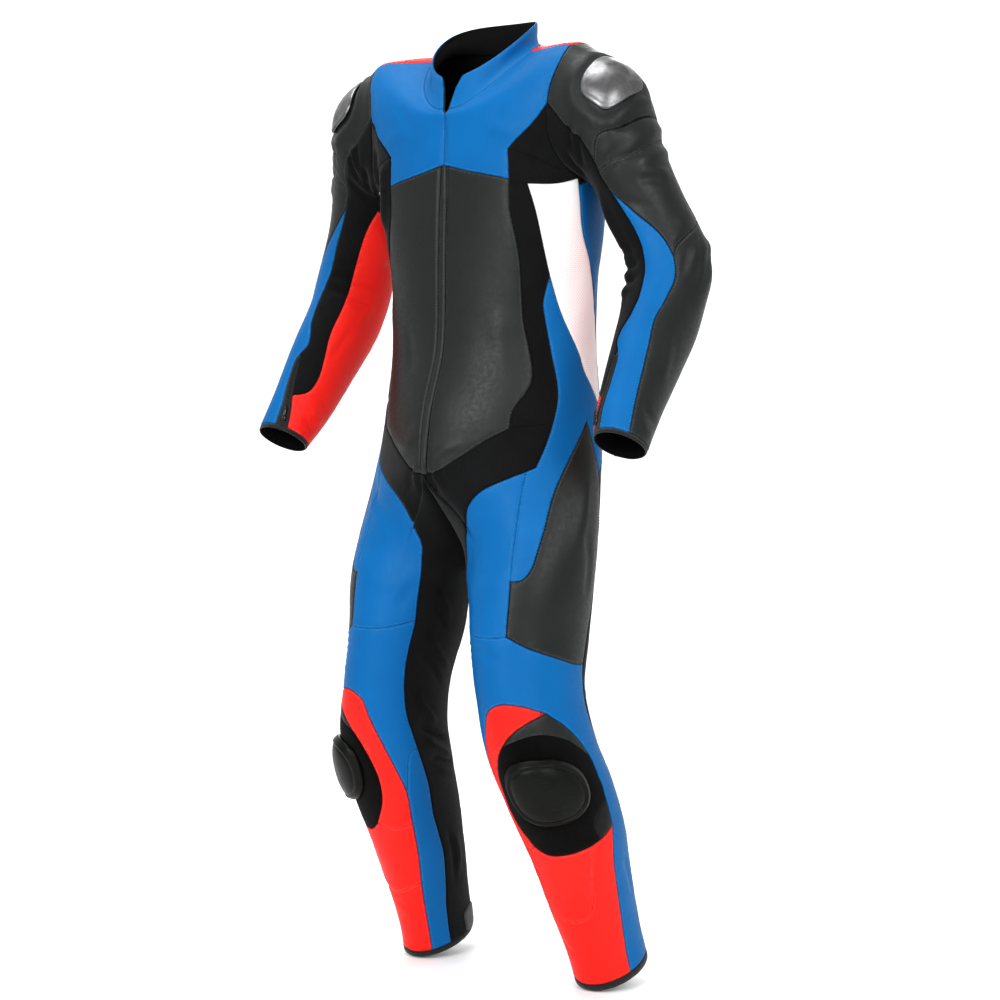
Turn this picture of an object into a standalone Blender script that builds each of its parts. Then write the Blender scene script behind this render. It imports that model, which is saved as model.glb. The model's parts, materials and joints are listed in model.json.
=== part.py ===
"""A one-piece motorcycle race suit, hollow, in the pose it is worn in. Metres, +Z up.

The front faces -Y and the wearer's left is +X. The origin lies midway between the shoulders at
the root of the neck, where the wearer carries the suit. Every panel is cut from one of two
smooth surfaces: the body surface runs up a leg and that side of the body to the collar, and the
sleeve surface runs from the armhole to the cuff. Seams are curves on them, given as
(turn, run): turn in degrees round the limb and run in metres along it. A panel is the area
between its seams, given a wall. The left side is worked out, and the right one mirrors it.
"""

import math

import bpy
import numpy as np
from mathutils import Vector, geometry

WALL = 0.0025  # leather with its lining
SEAM = 0.0003  # between neighbouring panels
SEAM_STEP = 0.029  # spacing of points along a seam
JOIN = 0.002  # a seam's end takes an older point this near
REACH = 0.03  # how far a seam's end looks for the seam it runs into
TURN_STEP, RUN_STEP = 0.5, 0.002  # to find a surface's direction

# Rings of the leg, hem upwards. run: distance up the side of the suit from the hem. lean: how far
# the ring's plane tips up at the heel. wrap: how far the outer half reaches round the leg.
LEG_COLUMNS = ("run", "x", "y", "z", "half_x", "half_y", "lean", "wrap")
LEG = (
    (0.00, 0.174, 0.110, -1.392, 0.053, 0.067, 21, 0),
    (0.05, 0.170, 0.096, -1.348, 0.052, 0.069, 22, 0),
    (0.15, 0.164, 0.063, -1.254, 0.060, 0.079, 22, 0),
    (0.23, 0.162, 0.034, -1.180, 0.068, 0.087, 20, 0),
    (0.31, 0.156, -0.002, -1.105, 0.073, 0.094, 14, 0),
    (0.38, 0.145, -0.034, -1.030, 0.075, 0.097, 5, 4),
    (0.46, 0.131, -0.042, -0.950, 0.072, 0.099, 0, 10),
    (0.54, 0.121, -0.031, -0.870, 0.078, 0.107, -2, 18),
    (0.62, 0.117, -0.024, -0.795, 0.090, 0.104, -3, 28),
)
# Rings of the body, hip upwards, for half a turn from front centre to back centre.
BODY_COLUMNS = (
    "run", "half_x", "front_y", "side_y", "back_y", "front_z", "side_z", "back_z", "front_square", "back_square",
)
BODY = (
    (0.79, 0.207, -0.140, 0.002, 0.124, -0.622, -0.625, -0.615, 1.4, 2.2),
    (0.88, 0.184, -0.131, 0.036, 0.148, -0.535, -0.535, -0.530, 1.75, 2.2),
    (0.98, 0.171, -0.100, 0.038, 0.154, -0.435, -0.435, -0.430, 2.05, 2.2),
    (1.08, 0.174, -0.095, 0.034, 0.158, -0.335, -0.335, -0.330, 2.2, 2.2),
    (1.18, 0.190, -0.093, 0.022, 0.158, -0.235, -0.235, -0.230, 2.3, 2.3),
    (1.28, 0.201, -0.089, 0.008, 0.147, -0.145, -0.135, -0.125, 2.4, 2.4),
    (1.36, 0.204, -0.087, -0.005, 0.130, -0.110, -0.018, -0.050, 2.4, 2.4),
    (1.42, 0.187, -0.087, -0.012, 0.113, -0.092, 0.017, -0.012, 2.3, 2.3),
    (1.47, 0.144, -0.087, -0.014, 0.101, -0.080, 0.018, 0.012, 2.1, 2.1),
    (1.505, 0.090, -0.084, 0.008, 0.100, -0.073, 0.018, 0.028, 2.0, 2.0),
    (1.56, 0.081, -0.070, 0.012, 0.094, -0.022, 0.047, 0.077, 2.0, 2.0),
)
HIP_RUN, TOP_RUN = 0.79, 1.56
# The crotch seam hangs as a curve between the centre lines of the lowest body ring.
CROTCH_Y, CROTCH_Z = 0.030, -0.755
CROTCH_FRONT_BEND, CROTCH_BACK_BEND = 2.0, 1.4

# Swells of a surface: a rise over an oval of it, or a hollow where the height is negative.
SWELL_COLUMNS = ("surface", "turn", "run", "half_turn", "half_run", "height")
SWELLS = (
    ("body", -2, 0.71, 55, 0.10, -0.036),
    ("sleeve", -12, 0.345, 34, 0.075, 0.005),
)
CENTRE_FADE = 0.05  # nearer the centre plane than this, the surface bends less to the side

# Rings of a sleeve. drop: how far its axis points below straight out. swing: how far it points back.
SLEEVE_COLUMNS = ("run", "x", "y", "z", "half_front", "half_side", "drop", "swing")
SLEEVE = (
    (0.075, 0.2375, 0.022, -0.112, 0.073, 0.085, 24, 3),
    (0.150, 0.2555, 0.036, -0.170, 0.064, 0.060, 54, 8),
    (0.230, 0.271, 0.050, -0.222, 0.061, 0.060, 71, 10),
    (0.310, 0.301, 0.062, -0.290, 0.063, 0.059, 74, 6),
    (0.350, 0.310, 0.060, -0.330, 0.067, 0.059, 78, -8),
    (0.400, 0.312, 0.040, -0.378, 0.068, 0.054, 83, -24),
    (0.480, 0.316, -0.008, -0.448, 0.063, 0.048, 87, -30),
    (0.560, 0.320, -0.057, -0.520, 0.053, 0.043, 88, -30),
    (0.622, 0.328, -0.094, -0.574, 0.042, 0.040, 88, -30),
)
CUFF_RUN = 0.622
ARMHOLE_TURN, ARMHOLE_RUN = 92.0, 1.330
ARMHOLE_HALF_TURN, ARMHOLE_HALF_RUN = 39.0, 0.093
ARMHOLE_POINTS = 48
SLEEVE_CUT = -128.0  # the seam down the inner back of the sleeve
SHARED_TURN = 0.2  # cosine: walls of body and sleeve share a direction where they turn less than this

# Seams of the body surface as (turn, run). Each end runs into an older seam or edge.
HEM = 0.012
NECK = 1.505
COLLAR_FRONT = ((0, 1.490), (3, NECK), (3.5, 1.535), (7, TOP_RUN))
BODY_SEAMS = {
    "hem": ((-90, HEM), (90, HEM), (270, HEM)),
    "neck": ((3, NECK), (20, NECK), (90, NECK), (180, NECK)),
    "shoulder": ((90, NECK), (88.5, 1.46), (87.3, 1.422)),
    "yoke hem": ((0, 1.264), (9, 1.252), (21, 1.243), (32, 1.236)),
    "yoke side": ((32, 1.236), (31, 1.262), (30, 1.288)),
    "yoke arm": ((30, 1.288), (35, 1.305), (44, 1.324), (53.4, 1.343)),
    "back yoke hem": ((129.8, 1.353), (150, 1.315), (180, 1.30)),
    "abdomen side": (
        (32, 1.236), (34, 1.188), (39, 1.146), (43, 1.108), (45.5, 1.064), (47.2, 1.022),
        (51.9, 0.973), (53.5, 0.940), (50.7, 0.918), (45, 0.893), (43.3, 0.863),
    ),
    "abdomen hem": ((43.3, 0.863), (34, 0.845), (23, 0.817), (12, 0.795), (0, 0.790)),
    "zip edge": ((1.05, 1.264), (1.3, 1.18), (1.7, 1.08), (2.2, 0.98), (3.3, 0.88), (5.0, 0.791)),
    "underarm": ((30, 1.288), (46, 1.270), (62, 1.253), (72.2, 1.250)),
    "white top": ((43, 1.231), (60, 1.229), (81, 1.229)),
    "white front": ((43, 1.231), (49, 1.190), (55, 1.145), (62.5, 1.092)),
    "band front": (
        (62.5, 1.092), (59, 1.054), (60, 1.031), (64, 0.982), (67.4, 0.921), (63.6, 0.870), (54.9, 0.805),
    ),
    "groin": ((43.3, 0.863), (53, 0.867), (63.6, 0.869)),
    "white low": ((62.5, 1.092), (71.8, 1.036), (84.2, 0.981), (89.7, 0.944), (101, 0.906), (108.7, 0.899)),
    "white back": (
        (81, 1.229), (82.8, 1.203), (86, 1.158), (100, 1.083), (110, 1.012), (112, 0.95), (108.7, 0.899),
    ),
    "armpit": ((81, 1.229), (91.7, 1.237)),
    "waist back": ((108.7, 0.899), (130, 0.905), (152, 0.911), (180, 0.912)),
    "back side": ((152, 1.314), (148, 1.20), (145, 1.10), (146, 1.00), (152, 0.911)),
    "thigh front": (
        (86, 0.874), (72.2, 0.822), (63.4, 0.771), (59, 0.711), (55.3, 0.672), (52, 0.650), (46.1, 0.636),
        (38.8, 0.634),
    ),
    "thigh corner": ((38.8, 0.634), (37.2, 0.609), (35.5, 0.575), (34.1, 0.549)),
    "thigh low": ((34.1, 0.549), (53.8, 0.531), (92.4, 0.508), (112, 0.503)),
    "thigh back": (
        (86, 0.874), (89, 0.859), (96, 0.823), (103, 0.794), (110, 0.75), (114, 0.70), (115, 0.64), (114, 0.57),
        (112, 0.503),
    ),
    "hip low": ((103, 0.794), (125, 0.84), (140, 0.88), (152, 0.911)),
    "leg inner": (
        (54.9, 0.805), (45, 0.79), (33, 0.769), (24.5, 0.746), (14, 0.714), (-5, 0.695), (-24, 0.680),
        (-29, 0.654), (-38, 0.594), (-45, 0.557), (-46.5, 0.52), (-49, 0.484), (-57, 0.426), (-70, 0.366),
        (-77, 0.306), (-74, 0.245), (-77, 0.181), (-74, 0.129), (-69, 0.077), (-68, HEM),
    ),
    "hip front": ((51.6, 0.798), (46, 0.72), (38.8, 0.634)),
    "thigh split": ((-45, 0.557), (-10, 0.548), (20, 0.546), (34.1, 0.549)),
    "red inner": (
        (61.8, 0.440), (40.8, 0.451), (19.1, 0.453), (-0.7, 0.441), (-12, 0.421), (-32, 0.376), (-45, 0.335),
        (-51, 0.300), (-48, 0.254), (-44.6, 0.192), (-38.7, 0.125), (-35, HEM),
    ),
    "knee top": (
        (61.8, 0.440), (38, 0.425), (16, 0.405), (-8, 0.372), (-22, 0.335), (-21, 0.298), (-5, 0.262),
    ),
    "knee low": ((-5, 0.262), (9, 0.250), (26, 0.246), (53, 0.246), (82, 0.251), (97, 0.259)),
    "knee outer": ((61.8, 0.440), (82, 0.413), (98, 0.373), (101, 0.331), (99, 0.293), (97, 0.259)),
    "shin outer": ((97, 0.259), (87, 0.208), (84, 0.149), (81, 0.090), (75, HEM)),
    "shin top": ((-5, 0.262), (-25, 0.250), (-48, 0.252)),
    "calf inner": ((-70, 0.362), (-60, 0.355), (-51, 0.300)),
    "leg back": ((112, 0.503), (122, 0.42), (140, 0.34), (144, 0.28), (136, 0.22), (130, 0.16), (132, HEM)),
    "leg inner back": ((225, HEM), (225, 0.30), (225, 0.60), (233, 0.70), (242, HIP_RUN)),
    "seat low": ((114, 0.70), (150, 0.675), (190, 0.68), (233, 0.70)),
}
CUFF = 0.616
CUT_RUNS = (0, 0.105, 0.205, 0.28, CUFF, CUFF_RUN)  # where seams meet the cut of the sleeve
SLEEVE_SEAMS = {
    "cuff": ((-128, CUFF), (52, CUFF), (232, CUFF)),
    "cap": (
        (82, 0), (89, 0.015), (97.4, 0.033), (103.8, 0.058), (108.9, 0.090), (107.5, 0.123), (105.7, 0.151),
        (99, 0.183),
    ),
    "strip inner": (
        (99, 0.183), (89.9, 0.231), (86.7, 0.268), (88.6, 0.310), (87.3, 0.359), (84, 0.409), (91, 0.445),
        (103, 0.468), (107, 0.486), (98, 0.502), (93, 0.515), (94, 0.536), (97.5, 0.560), (104, 0.585), (109, CUFF),
    ),
    "strip outer": (
        (99, 0.183), (74.6, 0.242), (59.3, 0.276), (48.5, 0.315), (43.9, 0.342), (40, 0.378), (44, 0.417),
        (48.9, 0.446), (45, 0.490), (41.5, 0.530), (39, 0.570), (38, CUFF),
    ),
    "elbow": (
        (45, 0.330), (38, 0.314), (17, 0.301), (-5, 0.292), (-30, 0.280), (-60, 0.272), (-95, 0.272), (-128, 0.28),
    ),
    "shoulder": ((108, 0.110), (88, 0.096), (50.5, 0.116), (0, 0.118), (-60, 0.112), (-128, 0.105)),
    "red top": ((153, 0.165), (180, 0.172), (210, 0.188), (232, 0.205)),
    "zip inner": ((98, 0.502), (105, 0.521), (110.5, 0.546), (118, 0.567), (129, 0.592), (138, CUFF)),
    "red front": (
        (153, 0.165), (130.6, 0.237), (127.4, 0.320), (130.6, 0.405), (133.9, 0.453), (144.9, 0.499),
        (149.6, 0.529), (143, 0.553), (118, 0.567),
    ),
}

# Discs laid on a panel: centre and half sizes in (turn, run), corner squareness, and the form.
DISC_COLUMNS = (
    "node", "surface", "turn", "run", "half_turn", "half_run", "square", "lift", "dome", "edge", "finish",
)
DISCS = (
    ("knee_slider", "body", 38, 0.338, 42, 0.042, 2.3, 0.009, 0.010, 0.75, "slider_plastic"),
    ("shoulder_plate", "sleeve", 29, 0.065, 38, 0.030, 3.0, 0.003, 0.004, 0.8, "brushed_metal"),
)
DISC_GAP = 0.0003
DISC_POINTS = 20

FINISH_COLUMNS = ("name", "red", "green", "blue", "metallic", "roughness")
FINISHES = (
    ("blue_leather", 0.0, 0.18, 0.56, 0.0, 0.45),
    ("red_leather", 0.95, 0.04, 0.03, 0.0, 0.45),
    ("charcoal_leather", 0.024, 0.028, 0.027, 0.0, 0.5),
    ("white_leather", 0.85, 0.85, 0.85, 0.0, 0.5),
    ("black_stretch", 0.010, 0.010, 0.011, 0.0, 0.85),
    ("slider_plastic", 0.014, 0.016, 0.014, 0.0, 0.35),
    ("brushed_metal", 0.30, 0.30, 0.31, 1.0, 0.35),
    ("zip_black", 0.01, 0.01, 0.01, 0.0, 0.6),
)

# Panels: each has a point inside every area it takes up. side is "pair" or "centre".
PANEL_COLUMNS = ("node", "surface", "side", "finish", "seeds")
PANELS = (
    ("chest_yoke", "body", "pair", "blue_leather", ((15, 1.35),)),
    ("back_yoke", "body", "centre", "red_leather", ((160, 1.40),)),
    ("collar", "body", "centre", "blue_leather", ((90, 1.53),)),
    ("shoulder_stretch", "body", "pair", "black_stretch", ((52, 1.285),)),
    ("side_stretch", "body", "pair", "black_stretch", ((40, 1.25), (56, 1.00), (87, 1.235))),
    ("abdomen", "body", "pair", "charcoal_leather", ((20, 1.10),)),
    ("front_zip", "body", "centre", "zip_black", ((0.5, 1.10),)),
    ("side_panel", "body", "pair", "white_leather", ((75, 1.15),)),
    ("back_side", "body", "pair", "blue_leather", ((125, 1.10),)),
    ("back_centre", "body", "centre", "charcoal_leather", ((170, 1.10),)),
    ("hip_band", "body", "pair", "blue_leather", ((68, 0.85),)),
    ("seat", "body", "centre", "charcoal_leather", ((170, 0.80),)),
    ("thigh_front", "body", "pair", "blue_leather", ((20, 0.65),)),
    ("thigh_side", "body", "pair", "charcoal_leather", ((85, 0.65),)),
    ("thigh_back", "body", "pair", "black_stretch", ((170, 0.40),)),
    ("leg_inner", "body", "pair", "black_stretch", ((-80, 0.50), (260, 0.50))),
    ("knee_arch", "body", "pair", "blue_leather", ((20, 0.50),)),
    ("calf_inner", "body", "pair", "blue_leather", ((-58, 0.20),)),
    ("knee_red", "body", "pair", "red_leather", ((-30, 0.33),)),
    ("knee_base", "body", "pair", "black_stretch", ((70, 0.27), (38, 0.338))),
    ("shin", "body", "pair", "red_leather", ((30, 0.15),)),
    ("leg_hem", "body", "pair", "zip_black", ((0, 0.006),)),
    ("shoulder_cap", "sleeve", "pair", "charcoal_leather", ((-40, 0.06), (29, 0.065))),
    ("upper_arm", "sleeve", "pair", "charcoal_leather", ((0, 0.18),)),
    ("forearm", "sleeve", "pair", "charcoal_leather", ((0, 0.45),)),
    ("arm_strip", "sleeve", "pair", "blue_leather", ((65, 0.40),)),
    ("arm_stretch", "sleeve", "pair", "black_stretch", ((110, 0.30),)),
    ("arm_red", "sleeve", "pair", "red_leather", ((180, 0.40),)),
    ("wrist_zip", "sleeve", "pair", "zip_black", ((108, 0.56),)),
    ("cuff", "sleeve", "pair", "zip_black", ((50, 0.619),)),
)

# The collar's inside facing.
FACING_WALL, FACING_MARGIN = 0.0012, 0.003

COLLECTION = "race_suit"


def rows(columns, table):
    """The table's rows as dictionaries by column name."""
    return [dict(zip(columns, row)) for row in table]


LEG_ROWS = rows(LEG_COLUMNS, LEG)
BODY_ROWS = rows(BODY_COLUMNS, BODY)
SLEEVE_ROWS = rows(SLEEVE_COLUMNS, SLEEVE)
DISC_ROWS = rows(DISC_COLUMNS, DISCS)
SWELL_ROWS = rows(SWELL_COLUMNS, SWELLS)


def leg_ring(row, turn):
    """A leg's ring: turn 0 is front centre, 90 the side, 180 back centre, -90 and 270 the inseam."""
    outer = (turn >= 0) & (turn <= 180)
    wrap = row["wrap"]
    inner_front = -90 + (turn + 90) * (90 - wrap) / 90
    inner_back = 180 + wrap + (turn - 180) * (90 - wrap) / 90
    at = np.where(turn < 0, inner_front, inner_back)
    at = np.radians(np.where(outer, turn * (180 + 2 * wrap) / 180 - wrap, at))
    forward = -row["half_y"] * np.cos(at)
    lean = math.radians(row["lean"])
    x = row["x"] + row["half_x"] * np.sin(at)
    y = row["y"] + forward * math.cos(lean)
    return np.stack([x, y, row["z"] + forward * math.sin(lean)], axis=-1)


def body_ring(row, turn):
    """A body ring, for turn from 0 to 180 degrees."""
    at = np.radians(np.clip(turn, 0, 180))
    cos, sin = np.cos(at), np.sin(at)
    power = 2 / np.where(cos > 0, row["front_square"], row["back_square"])
    end = np.where(cos > 0, row["front_y"], row["back_y"]) - row["side_y"]
    mean = (row["front_z"] + row["back_z"]) / 2 - row["side_z"]
    tip = (row["front_z"] - row["back_z"]) / 2
    x = row["half_x"] * np.abs(sin) ** power
    y = row["side_y"] + end * np.abs(cos) ** power
    return np.stack([x, y, row["side_z"] + mean * cos**2 + tip * cos], axis=-1)


def hip_ring(turn):
    """The lowest body ring with the crotch seam that closes it below."""
    row = BODY_ROWS[0]
    down = np.where(turn < 0, -turn, turn - 180)
    at = np.radians(np.clip(down, 0, 90))
    end_y = np.where(turn < 0, row["front_y"], row["back_y"])
    end_z = np.where(turn < 0, row["front_z"], row["back_z"])
    bend = np.where(turn < 0, CROTCH_FRONT_BEND, CROTCH_BACK_BEND)
    y = CROTCH_Y + (end_y - CROTCH_Y) * np.cos(at) ** bend
    z = end_z + (CROTCH_Z - end_z) * np.sin(at) ** bend
    crotch = np.stack([0 * y, y, z], axis=-1)
    return np.where((down > 0)[..., None], crotch, body_ring(row, turn))


def hermite(runs, rings, run):
    """A smooth curve through each column of ring points, read at run."""
    runs, rings = np.asarray(runs), np.asarray(rings)
    gaps = np.diff(runs)[:, None, None]
    slopes = np.diff(rings, axis=0) / gaps
    inner = (slopes[:-1] * gaps[1:] + slopes[1:] * gaps[:-1]) / (gaps[1:] + gaps[:-1])
    tangents = np.concatenate([slopes[:1], inner, slopes[-1:]])
    k = np.clip(np.searchsorted(runs, run) - 1, 0, len(runs) - 2)
    column = np.arange(len(run))
    gap = (runs[k + 1] - runs[k])[:, None]
    t = (run - runs[k])[:, None] / gap
    start = rings[k, column] * (2 * t**3 - 3 * t**2 + 1) + tangents[k, column] * gap * (t**3 - 2 * t**2 + t)
    end = rings[k + 1, column] * (3 * t**2 - 2 * t**3) + tangents[k + 1, column] * gap * (t**3 - t**2)
    return start + end


def swollen(name, plain, turn, run):
    """Points of a plain surface with its swells."""
    points = plain(turn, run)
    height = np.zeros(len(points))
    for swell in SWELL_ROWS:
        if swell["surface"] == name:
            across = (turn - swell["turn"]) / swell["half_turn"]
            along = (run - swell["run"]) / swell["half_run"]
            out = np.minimum(across**2 + along**2, 1)
            height += swell["height"] * (1 - out) ** 2
    step = plain(turn + TURN_STEP, run) - plain(turn - TURN_STEP, run)
    rise = plain(turn, run + RUN_STEP) - plain(turn, run - RUN_STEP)
    normals = np.cross(step, rise)
    normals /= np.maximum(np.linalg.norm(normals, axis=1, keepdims=True), 1e-12)
    moved = height[:, None] * normals
    moved[:, 0] *= np.minimum(points[:, 0] / CENTRE_FADE, 1)
    return points + moved


def plain_body(turn, run):
    """Points of the body surface before its swells: leg, body and collar in one."""
    hip = hip_ring(turn)
    rings = [leg_ring(row, turn) for row in LEG_ROWS] + [hip]
    inner = ((turn < 0) | (turn > 180))[:, None]
    ends = np.array([0.0, 180.0])
    # The share of the front centre's direction: half at the inseam, where front and back meet.
    front = np.where(turn < 0, 1 + turn / 180, (turn - 180) / 180)[:, None]
    for row in BODY_ROWS[1:]:
        # The inner quarters end at the hip ring, so they only need a direction to carry on in.
        ahead = body_ring(row, ends) - hip_ring(ends)
        rings.append(np.where(inner, hip + ahead[0] * front + ahead[1] * (1 - front), body_ring(row, turn)))
    points = hermite([row["run"] for row in LEG_ROWS + BODY_ROWS], rings, run)
    # Just above the hip ring the two halves meet in the centre plane, so the bend of the leg fades there.
    above = BODY_ROWS[1]
    part = (run - HIP_RUN) / (above["run"] - HIP_RUN)
    straight = hip[:, 0] + (body_ring(above, turn)[:, 0] - hip[:, 0]) * part
    share = np.where((part > 0) & (part < 1), np.clip(straight / CENTRE_FADE, 0, 1), 1)
    points[:, 0] = straight + (points[:, 0] - straight) * share
    return points


def body_points(turn, run):
    """Points of the body surface."""
    return swollen("body", plain_body, turn, run)


def armhole(turn):
    """The armhole on the body surface. turn is the sleeve's: 0 at the top and 90 at the front."""
    at = np.radians(turn)
    return ARMHOLE_TURN - ARMHOLE_HALF_TURN * np.sin(at), ARMHOLE_RUN + ARMHOLE_HALF_RUN * np.cos(at)


def sleeve_ring(row, turn):
    """A sleeve's ring: turn 0 is its top or outer line, 90 front, 180 under or inner, 270 back."""
    at = np.radians(turn)
    drop, swing = math.radians(row["drop"]), math.radians(row["swing"])
    flat = math.cos(swing)
    axis = Vector((math.cos(drop) * flat, math.sin(swing), -math.sin(drop) * flat))
    front = Vector((0, -1, 0))
    front = (front - axis * front.dot(axis)).normalized()
    top = front.cross(axis)
    across = np.sin(at)[:, None] * np.array(front) * row["half_front"]
    return np.array([row["x"], row["y"], row["z"]]) + across + np.cos(at)[:, None] * np.array(top) * row["half_side"]


def plain_sleeve(turn, run):
    """Points of the sleeve surface before its swells."""
    rings = [body_points(*armhole(turn))] + [sleeve_ring(row, turn) for row in SLEEVE_ROWS]
    return hermite([0.0] + [row["run"] for row in SLEEVE_ROWS], rings, run)


def sleeve_points(turn, run):
    """Points of the sleeve surface."""
    return swollen("sleeve", plain_sleeve, turn, run)


# How a surface is laid flat: metres to a degree of turn, the size of faces, and its seams.
SURFACES = {
    "body": {"points": body_points, "scale": 0.0021, "facet": 0.037, "seams": BODY_SEAMS},
    "sleeve": {"points": sleeve_points, "scale": 0.0013, "facet": 0.033, "seams": SLEEVE_SEAMS},
}


class Pattern:
    """The points and lines of one surface laid flat: x is turn times the scale, y is run."""

    def __init__(self, scale):
        self.scale = scale
        self.points = []
        self.lines = []

    def flat(self, table):
        return [Vector((turn * self.scale, run)) for turn, run in table]

    def add(self, point):
        self.points.append(point)
        return len(self.points) - 1

    def join(self, point):
        """The index of a point on what is already drawn, or of a new one where nothing is near."""
        if self.points:
            nearest = min(range(len(self.points)), key=lambda k: (self.points[k] - point).length)
            if (self.points[nearest] - point).length < JOIN:
                return nearest
        best = None
        for line in self.lines:
            a, b = self.points[line[0]], self.points[line[1]]
            on, part = geometry.intersect_point_line(point, a, b)
            gap = (on - point).length
            if 0 < part < 1 and gap < REACH and (best is None or gap < best[0]):
                best = (gap, line, on)
        if best is None:
            return self.add(point)
        middle = self.add(best[2])
        self.lines.remove(best[1])
        self.lines += [(best[1][0], middle), (middle, best[1][1])]
        return middle

    def chain(self, points, ends):
        """Lines through points, evenly spaced, between two indices."""
        lengths = [0.0]
        for a, b in zip(points, points[1:]):
            lengths.append(lengths[-1] + (b - a).length)
        count = max(1, round(lengths[-1] / SEAM_STEP))
        last = ends[0]
        xs, ys = [p.x for p in points], [p.y for p in points]
        for k in range(1, count):
            at = lengths[-1] * k / count
            new = self.add(Vector((np.interp(at, lengths, xs), np.interp(at, lengths, ys))))
            self.lines.append((last, new))
            last = new
        self.lines.append((last, ends[1]))

    def edge(self, table):
        """A straight-sided edge of the surface, with a point at each corner."""
        corners = self.flat(table)
        for a, b in zip(corners, corners[1:]):
            self.chain([a, b], (self.join(a), self.join(b)))

    def seam(self, table):
        """A smooth seam through the table's points."""
        given = self.flat(table)
        ends = (self.join(given[0]), self.join(given[-1]))
        given[0], given[-1] = self.points[ends[0]].copy(), self.points[ends[1]].copy()
        padded = [2 * given[0] - given[1]] + given + [2 * given[-1] - given[-2]]
        curve = [given[0]]
        for a, b, c, d in zip(padded, padded[1:], padded[2:], padded[3:]):
            for k in range(1, 9):
                t = k / 8
                bend = 2 * b + (c - a) * t + (2 * a - 5 * b + 4 * c - d) * t**2 + (3 * b - a - 3 * c + d) * t**3
                curve.append(bend / 2)
        self.chain(curve, ends)

    def loop(self, points):
        """A closed line through points."""
        new = [self.add(point) for point in points]
        self.lines += list(zip(new, new[1:] + new[:1]))
        return new


def body_edges(pattern):
    """The outline of the left half and its armhole."""
    pattern.edge(((-90, 0), (270, 0)))
    pattern.edge(((-90, 0), (-90, HIP_RUN), (0, HIP_RUN), COLLAR_FRONT[0]))
    pattern.edge(((270, 0), (270, HIP_RUN), (180, HIP_RUN), (180, TOP_RUN)))
    pattern.edge(COLLAR_FRONT)
    pattern.edge(((7, TOP_RUN), (180, TOP_RUN)))
    pattern.loop(pattern.flat(armhole(turn) for turn in armhole_turns()[:-1]))


def sleeve_edges(pattern):
    """The outline of the left sleeve."""
    end = SLEEVE_CUT + 360
    turns = armhole_turns()
    pattern.edge([(turn, 0) for turn in turns])
    for turn in (SLEEVE_CUT, end):
        pattern.edge([(turn, run) for run in CUT_RUNS])
    pattern.edge(((SLEEVE_CUT, CUFF_RUN), (end, CUFF_RUN)))


def armhole_turns():
    return [SLEEVE_CUT + 360 * k / ARMHOLE_POINTS for k in range(ARMHOLE_POINTS + 1)]


def disc_outline(disc, part, count):
    """Points of a disc's outline, or of one inside it, as (turn, run)."""
    power = 2 / disc["square"]
    for k in range(count):
        at = math.tau * (k + 0.5) / count
        across = math.copysign(abs(math.cos(at)) ** power, math.cos(at)) * part
        along = math.copysign(abs(math.sin(at)) ** power, math.sin(at)) * part
        yield disc["turn"] + across * disc["half_turn"], disc["run"] + along * disc["half_run"]


def filling(pattern, facet):
    """Evenly spaced points that keep clear of every line."""
    starts = np.array([pattern.points[a] for a, b in pattern.lines])
    steps = np.array([pattern.points[b] for a, b in pattern.lines]) - starts
    squares = (steps**2).sum(axis=1)
    low, high = starts.min(axis=0), starts.max(axis=0)
    row_height = facet * math.sqrt(3) / 2
    kept = []
    for k in range(int((high[1] - low[1]) / row_height)):
        y = low[1] + (k + 0.5) * row_height
        for x in np.arange(low[0] + facet * (0.25 + 0.5 * (k % 2)), high[0], facet):
            part = np.clip(((np.array([x, y]) - starts) * steps).sum(axis=1) / squares, 0, 1)
            near = starts + part[:, None] * steps - np.array([x, y])
            if (near**2).sum(axis=1).min() > (0.5 * facet) ** 2:
                kept.append(Vector((x, y)))
    return kept


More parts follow.
